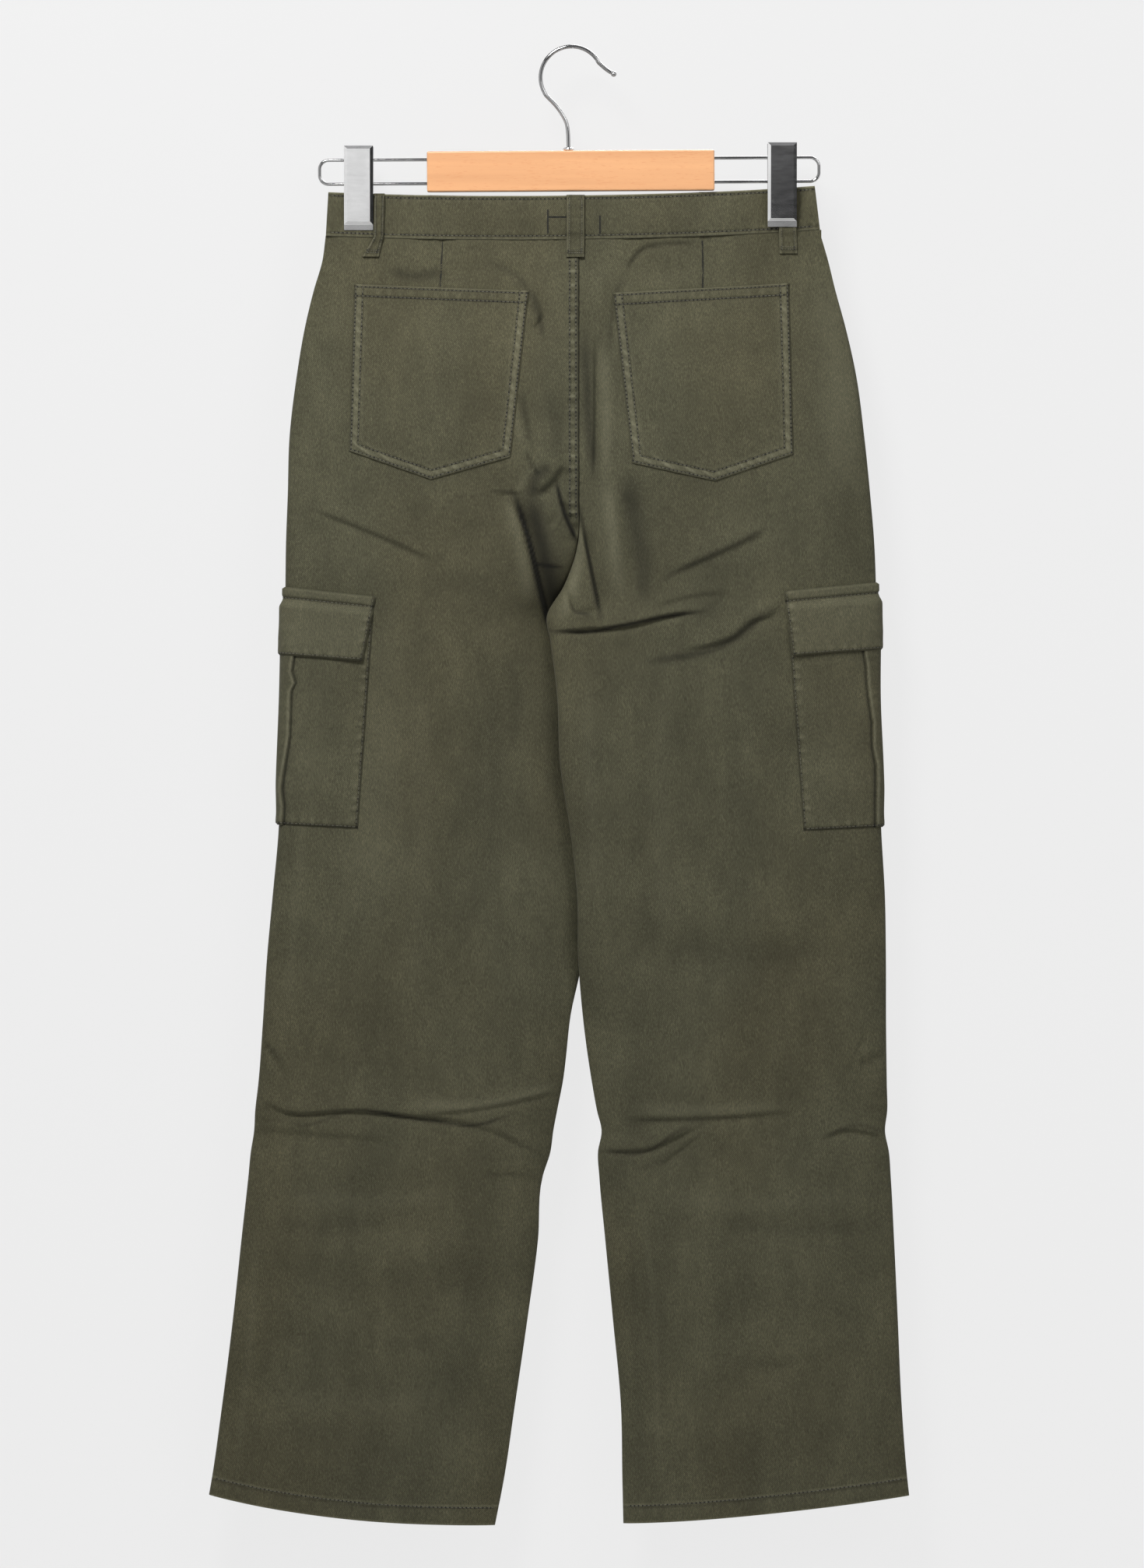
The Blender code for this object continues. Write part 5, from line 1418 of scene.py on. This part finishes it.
def stitch_bodies(places, half):
    """Vertices and faces of one rounded stitch for each place."""
    middle, along, up, beside = places
    rings = []
    for share, size, sink in STITCH_SHAPE:
        for corner in range(STITCH_SIDES):
            angle = 2 * math.pi * corner / STITCH_SIDES
            rings.append(middle + along * (share * half)
                         + beside * (math.cos(angle) * size * STITCH_RADIUS)
                         + up * (math.sin(angle) * size * STITCH_RADIUS + STITCH_LIFT - sink))
    pattern = np.array(ring_faces(len(STITCH_SHAPE), STITCH_SIDES))
    faces = pattern + len(rings) * np.arange(len(middle))[:, None, None]
    return np.stack(rings, axis=1).reshape(-1, 3), faces.reshape(-1, 4)


def hole_corners(places):
    """Corners of one flat dark disc of painted shade at a needle hole, for each place."""
    middle, along, up, beside = places
    middle = middle + up * HOLE_SHADE_LIFT
    corners = [middle + along * (ahead * HOLE_SHADE_SIZE) + beside * (away * HOLE_SHADE_SIZE)
               for ahead, away in HOLE_SHADE_CORNERS]
    return np.stack(corners, axis=1).reshape(-1, 3)


def stitch_piece(name, lines, finishes, pitch=STITCH_PITCH, fold_shades=()):
    """Join all stitches along some lines into one mesh, with a dark disc of painted shade at each needle
    hole.

    Folds are lines that show as one thin line of painted shade instead.
    """
    places = places_along(lines, pitch, STITCH_ENDS, STITCH_JITTER)
    vertices, faces = stitch_bodies(places, 0.5 * STITCH_LENGTH * pitch / STITCH_PITCH)
    holes = places.copy()
    holes[0] += holes[1] * (0.5 * pitch)
    if fold_shades:
        holes = np.concatenate([holes, places_along(fold_shades, FOLD_SHADE_PITCH, FOLD_SHADE_ENDS)], axis=1)
    corners = hole_corners(holes)
    hole_faces = len(vertices) + np.arange(len(corners)).reshape(-1, len(HOLE_SHADE_CORNERS))
    piece = new_object(name, np.vstack([vertices, corners]), faces.tolist() + hole_faces.tolist(),
                       finishes["thread"])
    piece.data.materials.append(finishes["hole"])
    slots = np.zeros(len(piece.data.polygons), dtype=np.int32)
    slots[len(faces):] = 1
    piece.data.polygons.foreach_set("material_index", slots)
    return declare(piece)


# Hanger pieces -------------------------------------------------------------
def tube(name, points, radii, material, sides=20):
    """Closed round wire along points, with a radius at each of them."""
    points, radii = np.asarray(points, float), np.broadcast_to(radii, (len(points),))
    tangents = unit(np.gradient(points, axis=0))
    normal = np.cross(tangents[0], (0.0, 1.0, 0.3))
    angles = np.linspace(0.0, 2 * math.pi, sides, endpoint=False)[:, None]
    rings = []
    for point, tangent, radius in zip(points, tangents, radii):
        normal = unit(normal - tangent * np.dot(normal, tangent))
        binormal = np.cross(tangent, normal)
        rings.append(point + radius * (np.cos(angles) * normal + np.sin(angles) * binormal))
    last = (len(points) - 1) * sides
    caps = [tuple(range(sides))[::-1], tuple(range(last, last + sides))]
    made = new_object(name, np.vstack(rings), ring_faces(len(points), sides) + caps, material)
    made.data.set_sharp_from_angle(angle=math.radians(50.0))
    return made


def arc(centre, radius, start, end, steps):
    """Points (x, z) of an arc, angles in degrees from +X."""
    angles = np.radians(np.linspace(start, end, steps + 1))
    return np.stack([centre[0] + radius * np.cos(angles), centre[1] + radius * np.sin(angles)], axis=-1)


def in_plane(points):
    """Give points (x, z) their place in the plane y = 0."""
    points = np.asarray(points, float)
    return np.stack([points[:, 0], np.zeros(len(points)), points[:, 1]], axis=-1)


def from_bar(points):
    """Turn points given from the bar's middle into the frame's axes."""
    x, z = points[:, 0], points[:, 1]
    turned_x = HANGER_CENTRE[0] + x * math.cos(HANGER_TILT) + z * math.sin(HANGER_TILT)
    turned_z = HANGER_CENTRE[1] - x * math.sin(HANGER_TILT) + z * math.cos(HANGER_TILT)
    return np.stack([turned_x, turned_z], axis=-1)


def build_hook(finishes):
    """Make the hook with the ball at its open end."""
    curved = np.vstack([HOOK_TIP, arc(HOOK_ARC_CENTRE, HOOK_ARC_RADIUS, *HOOK_ARC, 24), HOOK_NECK])
    line = curve_through(curved, 5)
    stem_x = HOOK_NECK[-1][0]
    stem = [(stem_x, z) for z in np.linspace(HOOK_NECK[-1][1] - 2.0, HANGER_CENTRE[1] + 4.0, 5)]
    line = np.vstack([line, stem])
    start, run = line[0], (line[0] - line[1]) / np.hypot(*(line[0] - line[1]))
    angles = np.linspace(0.06, 0.78 * math.pi, 12)
    ball = [start + run * (HOOK_BALL * math.cos(angle)) for angle in angles]
    ball_radii = [HOOK_BALL * math.sin(angle) for angle in angles]
    away = np.hypot(*(line - start).T)
    line = line[away > HOOK_BALL * 0.95]
    points = np.vstack([ball, line])
    radii = np.concatenate([ball_radii, np.full(len(line), HOOK_WIRE)])
    piece = tube("hook", in_plane(points), radii, finishes["wire"])
    return declare(piece, ["hanger_hook"])


def build_rail(side, finishes):
    """Make one U of the rail wire."""
    outward_x = 1.0 if side == "right" else -1.0
    seat = outward_x * (BAR_LENGTH / 2 - RAIL_SEAT)
    upper, lower = RAIL_HEIGHTS
    corner_x = RAIL_ENDS[side] - outward_x * RAIL_CORNER
    turn = -90.0 * outward_x
    top = arc((corner_x, upper - RAIL_CORNER), RAIL_CORNER, 90.0, 90.0 + turn, 12)
    low = arc((corner_x, lower + RAIL_CORNER), RAIL_CORNER, 90.0 + turn, 90.0 + 2 * turn, 12)
    near, far = np.linspace(seat, corner_x, 12)[:-1], np.linspace(corner_x, seat, 12)[1:]
    points = np.vstack([[(x, upper) for x in near], top, low, [(x, lower) for x in far]])
    piece = tube("rail_" + side, in_plane(from_bar(points)), RAIL_WIRE, finishes["wire"])
    return declare(piece, ["hanger_rail_" + side])


def build_clip_face(name, finishes):
    """Make the bevelled plate that covers a clip's outer face."""
    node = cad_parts[name]
    corners = np.array([node.matrix_world @ Vector(corner) for corner in node.bound_box]) / MM
    low, high = corners.min(0), corners.max(0)
    sign, outermost = (-1.0, -low[1]) if name.endswith("near") else (1.0, high[1])
    points = []
    for inset, lift in ((0.0, 0.02), (CLIP_BEVEL, CLIP_RAISE)):
        left, right = low[0] + inset, high[0] - inset
        bottom, top = low[2] + CLIP_LIP + inset, high[2] - inset
        for x, z in ((left, bottom), (right, bottom), (right, top), (left, top)):
            points.append((x, sign * (outermost - CLIP_LEAN * (high[2] - z) + lift), z))
    faces = [(4, 5, 6, 7), (3, 2, 1, 0)]
    faces += [(edge, (edge + 1) % 4, (edge + 1) % 4 + 4, edge + 4) for edge in range(4)]
    plate = new_object("face_" + name, points, faces, finishes["plate"])
    if sign > 0:
        plate.data.flip_normals()
    plate.data.shade_flat()
    return declare(plate)


def build_spring(side, finishes):
    """Make a clip's coil spring, round the rail's lower wire."""
    turns = np.linspace(0.0, 2 * math.pi * SPRING_TURNS, 24 * SPRING_TURNS + 1)
    centre = from_bar(np.array([[CLIP_CENTRES[side] - HANGER_CENTRE[0], RAIL_HEIGHTS[1]]]))[0]
    x = centre[0] + np.linspace(-0.5, 0.5, len(turns)) * SPRING_LENGTH
    points = np.stack([x, SPRING_COIL * np.cos(turns), centre[1] + SPRING_COIL * np.sin(turns)], axis=-1)
    piece = tube("spring_" + side, points, SPRING_WIRE, finishes["wire"], 10)
    return declare(piece, [f"clip_{side}_spring"])


# Finishes ------------------------------------------------------------------
def new_finish(name, roughness, metallic=0.0):
    """Start a node material and give its tree and shader."""
    material = bpy.data.materials.new(name)
    material.use_nodes = True
    tree = material.node_tree
    shader = tree.nodes["Principled BSDF"]
    shader.inputs["Roughness"].default_value = roughness
    shader.inputs["Metallic"].default_value = metallic
    return material, tree, shader


def add_node(tree, kind, values=None, **settings):
    """Add a node, with its settings and the values of its inputs."""
    made = tree.nodes.new(kind)
    for key, value in settings.items():
        setattr(made, key, value)
    for key, value in (values or {}).items():
        made.inputs[key].default_value = value
    return made


def placed(tree, scale=(1.0, 1.0, 1.0), turn=(0.0, 0.0, 0.0)):
    """Object coordinates, turned and scaled."""
    coordinates = add_node(tree, "ShaderNodeTexCoord")
    mapping = add_node(tree, "ShaderNodeMapping", {"Scale": scale, "Rotation": turn})
    tree.links.new(coordinates.outputs["Object"], mapping.inputs["Vector"])
    return mapping.outputs["Vector"]


def noise(tree, vector, scale, detail=2.0, roughness=0.5):
    """Noise value on a vector."""
    made = add_node(tree, "ShaderNodeTexNoise", {"Scale": scale, "Detail": detail, "Roughness": roughness})
    tree.links.new(vector, made.inputs["Vector"])
    return made.outputs["Fac"]


def maths(tree, operation, first, second):
    """One math node on two values or sockets."""
    made = add_node(tree, "ShaderNodeMath", operation=operation)
    for socket, value in zip(made.inputs, (first, second)):
        if isinstance(value, (int, float)):
            socket.default_value = value
        else:
            tree.links.new(value, socket)
    return made.outputs[0]


def ramp(tree, value, stops):
    """Colour ramp with stops (position, colour)."""
    made = add_node(tree, "ShaderNodeValToRGB")
    elements = made.color_ramp.elements
    while len(elements) < len(stops):
        elements.new(0.5)
    for element, (position, color) in zip(elements, stops):
        element.position = position
        element.color = (*color, 1.0)
    tree.links.new(value, made.inputs["Fac"])
    return made.outputs["Color"]


def mix(tree, share, first, second, blend="MIX"):
    """Mix two colours, each a socket or an RGB triple."""
    made = add_node(tree, "ShaderNodeMix", data_type="RGBA", blend_type=blend)
    for key, value in ((0, share), (6, first), (7, second)):
        socket = made.inputs[key]
        if isinstance(value, (int, float)):
            socket.default_value = value
        elif isinstance(value, tuple):
            socket.default_value = (*value, 1.0)
        else:
            tree.links.new(value, socket)
    return made.outputs[2]


def paint(tree, shader, color):
    """Give a shader its colour."""
    tree.links.new(color, shader.inputs["Base Color"])


def grey(value):
    """Colour without hue."""
    return (value, value, value)


def add_bump(tree, shader, height, strength, distance):
    """Bump the shader's surface by a height."""
    bump = add_node(tree, "ShaderNodeBump", {"Strength": strength, "Distance": distance})
    tree.links.new(height, bump.inputs["Height"])
    tree.links.new(bump.outputs["Normal"], shader.inputs["Normal"])


def twill_finish():
    """Olive stretch twill: fine diagonal ribs, specks and washed patches."""
    material, tree, shader = new_finish("olive_twill", 0.86)
    turned = placed(tree, turn=(0.0, TWILL_TURN, 0.0))
    ribs = add_node(tree, "ShaderNodeTexWave",
                    {"Scale": TWILL_SCALE, "Distortion": 0.8, "Detail": 2.0, "Detail Scale": 4.0})
    tree.links.new(turned, ribs.inputs["Vector"])
    threads = noise(tree, placed(tree, (1.0, 1.0, 0.3), (0.0, TWILL_TURN, 0.0)), 1500.0, 3.0, 0.7)
    patches = noise(tree, placed(tree, (1.3, 1.0, 0.7)), 24.0, 5.0, 0.65)
    hue = noise(tree, placed(tree, (1.0, 1.0, 0.6)), 6.0, 2.0)
    weave = maths(tree, "ADD", maths(tree, "MULTIPLY", ribs.outputs["Fac"], 0.16),
                  maths(tree, "MULTIPLY", threads, 0.84))
    tone = maths(tree, "ADD", maths(tree, "MULTIPLY", weave, 0.74), maths(tree, "MULTIPLY", patches, 0.26))
    color = ramp(tree, tone, ((0.30, TWILL_DARK), (0.52, TWILL_MID), (0.72, TWILL_LIGHT)))
    browned = ramp(tree, hue, ((0.42, grey(0.0)), (0.62, grey(0.5))))
    color = mix(tree, browned, color, TWILL_BROWN, "MULTIPLY")
    # The attribute lightens worn dye and painted highlights (+) and darkens towards painted shade (-).
    wear_and_painted_shading = add_node(tree, "ShaderNodeAttribute", attribute_name="wear_and_painted_shading").outputs["Fac"]
    faded_and_highlit = maths(tree, "MULTIPLY", maths(tree, "MAXIMUM", wear_and_painted_shading, 0.0), maths(tree, "ADD", threads, 0.15))
    color = mix(tree, faded_and_highlit, color, TWILL_WORN_AND_HIGHLIGHT)
    painted_shade_share = maths(tree, "MAXIMUM", maths(tree, "MULTIPLY", wear_and_painted_shading, -1.0), 0.0)
    color = mix(tree, painted_shade_share, color, TWILL_PAINTED_SHADE)
    paint(tree, shader, color)
    shader.inputs["Sheen Weight"].default_value = 0.08
    shader.inputs["Sheen Roughness"].default_value = 0.45
    shader.inputs["Sheen Tint"].default_value = (0.72, 0.70, 0.58, 1.0)
    shader.inputs["Specular IOR Level"].default_value = 0.14
    add_bump(tree, shader, weave, 0.55, 0.0004)
    return material


def thread_finish():
    """Sewing thread: a twisted strand, a little lighter than the twill."""
    material, tree, shader = new_finish("olive_thread", 0.62)
    twist = noise(tree, placed(tree), 900.0, 2.0)
    color = ramp(tree, twist, ((0.3, THREAD_DARK), (0.7, THREAD_LIGHT)))
    paint(tree, shader, color)
    shader.inputs["Sheen Weight"].default_value = 0.15
    add_bump(tree, shader, twist, 0.4, 0.0002)
    return material


def hole_finish():
    """Painted shade of the pit where the needle has pulled the cloth in."""
    material, tree, shader = new_finish("needle_hole", 0.95)
    shade = noise(tree, placed(tree), 700.0)
    color = ramp(tree, shade, ((0.3, HOLE_SHADE_DARK), (0.7, HOLE_SHADE_LIGHT)))
    paint(tree, shader, color)
    return material


def chrome_finish(name, dullness, dark, light):
    """Plated wire and sheet steel with faint wipe marks."""
    material, tree, shader = new_finish(name, 0.1, 1.0)
    marks = noise(tree, placed(tree, (1.0, 1.0, 4.0)), 90.0, 4.0, 0.65)
    smears = noise(tree, placed(tree, (1.0, 1.0, 0.3)), 30.0, 1.0)
    rough = maths(tree, "MULTIPLY_ADD", marks, 0.12)
    rough.node.inputs[2].default_value = dullness
    tree.links.new(rough, shader.inputs["Roughness"])
    color = ramp(tree, smears, ((0.36, grey(dark)), (0.64, grey(light))))
    paint(tree, shader, color)
    add_bump(tree, shader, marks, 0.05, 0.0002)
    return material


def wood_finish():
    """Lacquered beech: straight grain along the bar, with short flecks."""
    material, tree, shader = new_finish("beech", 0.42)
    grain = noise(tree, placed(tree, (0.05, 1.0, 1.0)), 260.0, 4.0, 0.55)
    bands = noise(tree, placed(tree, (0.04, 1.0, 1.0)), 60.0, 3.0, 0.5)
    flecks = noise(tree, placed(tree, (0.14, 1.0, 1.0)), 1300.0, 1.0)
    color = ramp(tree, bands, ((0.32, WOOD_DARK), (0.5, WOOD_MID), (0.68, WOOD_LIGHT)))
    color = mix(tree, 0.35, color, ramp(tree, grain, ((0.35, WOOD_MID), (0.62, WOOD_LIGHT))))
    flecked = ramp(tree, flecks, ((0.62, grey(0.0)), (0.72, grey(0.4))))
    color = mix(tree, flecked, color, WOOD_FLECK)
    paint(tree, shader, color)
    shader.inputs["Coat Weight"].default_value = 0.25
    shader.inputs["Coat Roughness"].default_value = 0.3
    add_bump(tree, shader, grain, 0.12, 0.0003)
    return material


def button_finish():
    """Dark moulded button with a marbled tone."""
    material, tree, shader = new_finish("dark_button", 0.34)
    marble = noise(tree, placed(tree), 160.0, 4.0, 0.6)
    color = ramp(tree, marble, ((0.35, BUTTON_DARK), (0.65, BUTTON_LIGHT)))
    paint(tree, shader, color)
    add_bump(tree, shader, marble, 0.08, 0.0002)
    return material


def plain_finish(name, color, roughness=0.9):
    """Plain finish for the wall, the floor and the cards."""
    material, tree, shader = new_finish(name, roughness)
    grain = noise(tree, placed(tree), 40.0, 2.0)
    light = tuple(min(1.0, part * 1.01) for part in color)
    paint(tree, shader, ramp(tree, grain, ((0.3, color), (0.7, light))))
    shader.inputs["Specular IOR Level"].default_value = 0.1
    return material


# Room ----------------------------------------------------------------------
def upright_plate(name, start, end, low, high, material):
    """Make a flat upright face over the line from start to end, seen from above."""
    corners = ((*start, low), (*end, low), (*end, high), (*start, high))
    plate = new_object(name, corners, [(0, 1, 2, 3)], material)
    return plate


def glow(material, color, strength):
    """Let a finish give off light of its own."""
    shader = material.node_tree.nodes["Principled BSDF"]
    shader.inputs["Emission Color"].default_value = (*color, 1.0)
    shader.inputs["Emission Strength"].default_value = strength


def see_through_back(material):
    """Make a finish show only from its front, so that it hides nothing behind."""
    tree = material.node_tree
    output, shader = tree.nodes["Material Output"], tree.nodes["Principled BSDF"]
    geometry = add_node(tree, "ShaderNodeNewGeometry")
    clear = add_node(tree, "ShaderNodeBsdfTransparent")
    choose = add_node(tree, "ShaderNodeMixShader")
    tree.links.new(geometry.outputs["Backfacing"], choose.inputs[0])
    tree.links.new(shader.outputs[0], choose.inputs[1])
    tree.links.new(clear.outputs[0], choose.inputs[2])
    tree.links.new(choose.outputs[0], output.inputs["Surface"])


def build_card(name, start, end, low, high, strength):
    """Make a card that shows in what the metal mirrors and nowhere else."""
    material = plain_finish(name, CARD_COLOR)
    glow(material, (1.0, 1.0, 1.0), strength)
    card = upright_plate(name, start, end, low, high, material)
    card.visible_camera = False
    card.visible_diffuse = False
    card.visible_shadow = False


def build_room():
    """Make the four glowing walls, the floor and the cards that the metal mirrors."""
    wall_finish = plain_finish("pale_wall", WALL_COLOR)
    glow(wall_finish, (1.0, 1.0, 1.0), WALL_GLOW)
    see_through_back(wall_finish)
    for start, end in WALLS:
        wall = upright_plate("wall", start, end, FLOOR_Z, ROOM, wall_finish)
        wall.visible_diffuse = False
        wall.visible_glossy = False
        wall.visible_shadow = False
    corners = [(x, y, FLOOR_Z) for x, y in ((-ROOM, -ROOM), (ROOM, -ROOM), (ROOM, ROOM), (-ROOM, ROOM))]
    floor = new_object("floor", corners, [(0, 1, 2, 3)], plain_finish("pale_floor", FLOOR_COLOR))
    for card in CARDS:
        build_card(*card)


def add_light(name, place, size, power, color=(1.0, 1.0, 1.0)):
    """Add a soft area light that looks at the middle of the picture."""
    data = bpy.data.lights.new(name, "AREA")
    data.size = size
    data.energy = power
    data.color = color
    lamp = bpy.data.objects.new(name, data)
    bpy.context.scene.collection.objects.link(lamp)
    lamp.location = place
    aim = np.array([VIEW_CENTRE[0] * MM, 0.0, VIEW_CENTRE[1] * MM]) - np.array(place)
    lamp.rotation_euler = Vector(aim).to_track_quat("-Z", "Y").to_euler()


def build_light():
    """Set the studio light and the pale surroundings."""
    for light in LIGHTS:
        add_light(*light)
    world = bpy.data.worlds.new("studio")
    bpy.context.scene.world = world
    world.use_nodes = True
    background = world.node_tree.nodes["Background"]
    background.inputs["Color"].default_value = (*WORLD_COLOR, 1.0)
    background.inputs["Strength"].default_value = WORLD_STRENGTH
    bpy.context.scene.view_settings.view_transform = "Standard"


def build_camera():
    """Set the camera in front of the middle of the pants."""
    data = bpy.data.cameras.new("camera")
    data.sensor_width = SENSOR
    data.lens = SENSOR * CAMERA_DISTANCE / VIEW_HEIGHT
    camera = bpy.data.objects.new("camera", data)
    bpy.context.scene.collection.objects.link(camera)
    camera.location = (VIEW_CENTRE[0] * MM, (CLOTH_PLANE - CAMERA_DISTANCE) * MM, VIEW_CENTRE[1] * MM)
    camera.rotation_euler = (math.pi / 2, 0.0, 0.0)
    bpy.context.scene.camera = camera


def finish_cad_nodes(finishes):
    """Give the CAD nodes that stay their finish, and those of the clips and hook softened edges."""
    for name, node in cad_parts.items():
        if node.hide_render:
            continue
        key = "plate" if name.startswith(("clip", "hook")) else "wood" if name == "hanger_bar" else "button"
        for slot in node.material_slots:
            slot.material = finishes[key]
        if key == "plate":
            welded = node.modifiers.new("welded", "WELD")
            welded.merge_threshold = WELD * MM
            softened = node.modifiers.new("softened", "BEVEL")
            softened.width = PLATE_BEVEL * MM
            softened.segments = 3
            softened.limit_method = "ANGLE"
            softened.angle_limit = math.radians(30.0)
            softened.harden_normals = False


def build_cloth(finishes):
    """Make all cloth pieces and give them by node name."""
    made = {}
    for face in ("back", "front"):
        for side in ("left", "right"):
            made[f"{face}_{side}"] = build_panel(face, side, finishes)
    for name, face, x_from, x_to in BAND_STRETCHES:
        made[name] = build_band(name, face, x_from, x_to, finishes)
    for loop in BELT_LOOPS:
        made[loop["name"]] = build_loop(loop, finishes)
    for patch in PATCHES:
        made["back_pocket_" + patch["side"]] = build_patch(patch, finishes)
    for piece in CARGO_PIECES:
        made[piece["name"]] = build_cargo(piece, finishes)
    return made


def main():
    """Build the looks around the frame."""
    build_camera()
    build_room()
    build_light()
    finishes = {
        "twill": twill_finish(),
        "thread": thread_finish(),
        "hole": hole_finish(),
        # The wire is the same chrome as the sheet, with its colour darkened as painted shade.
        "wire": chrome_finish("plated_wire", 0.04, 0.22, 0.40),
        "plate": chrome_finish("plated_sheet", 0.09, 0.60, 0.88),
        "wood": wood_finish(),
        "button": button_finish(),
    }
    for name, (piece, stitches) in build_cloth(finishes).items():
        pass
    build_hook(finishes)
    for side in ("left", "right"):
        build_rail(side, finishes)
        build_spring(side, finishes)
        for place in ("near", "far"):
            build_clip_face(f"clip_{side}_{place}", finishes)
    finish_cad_nodes(finishes)


main()
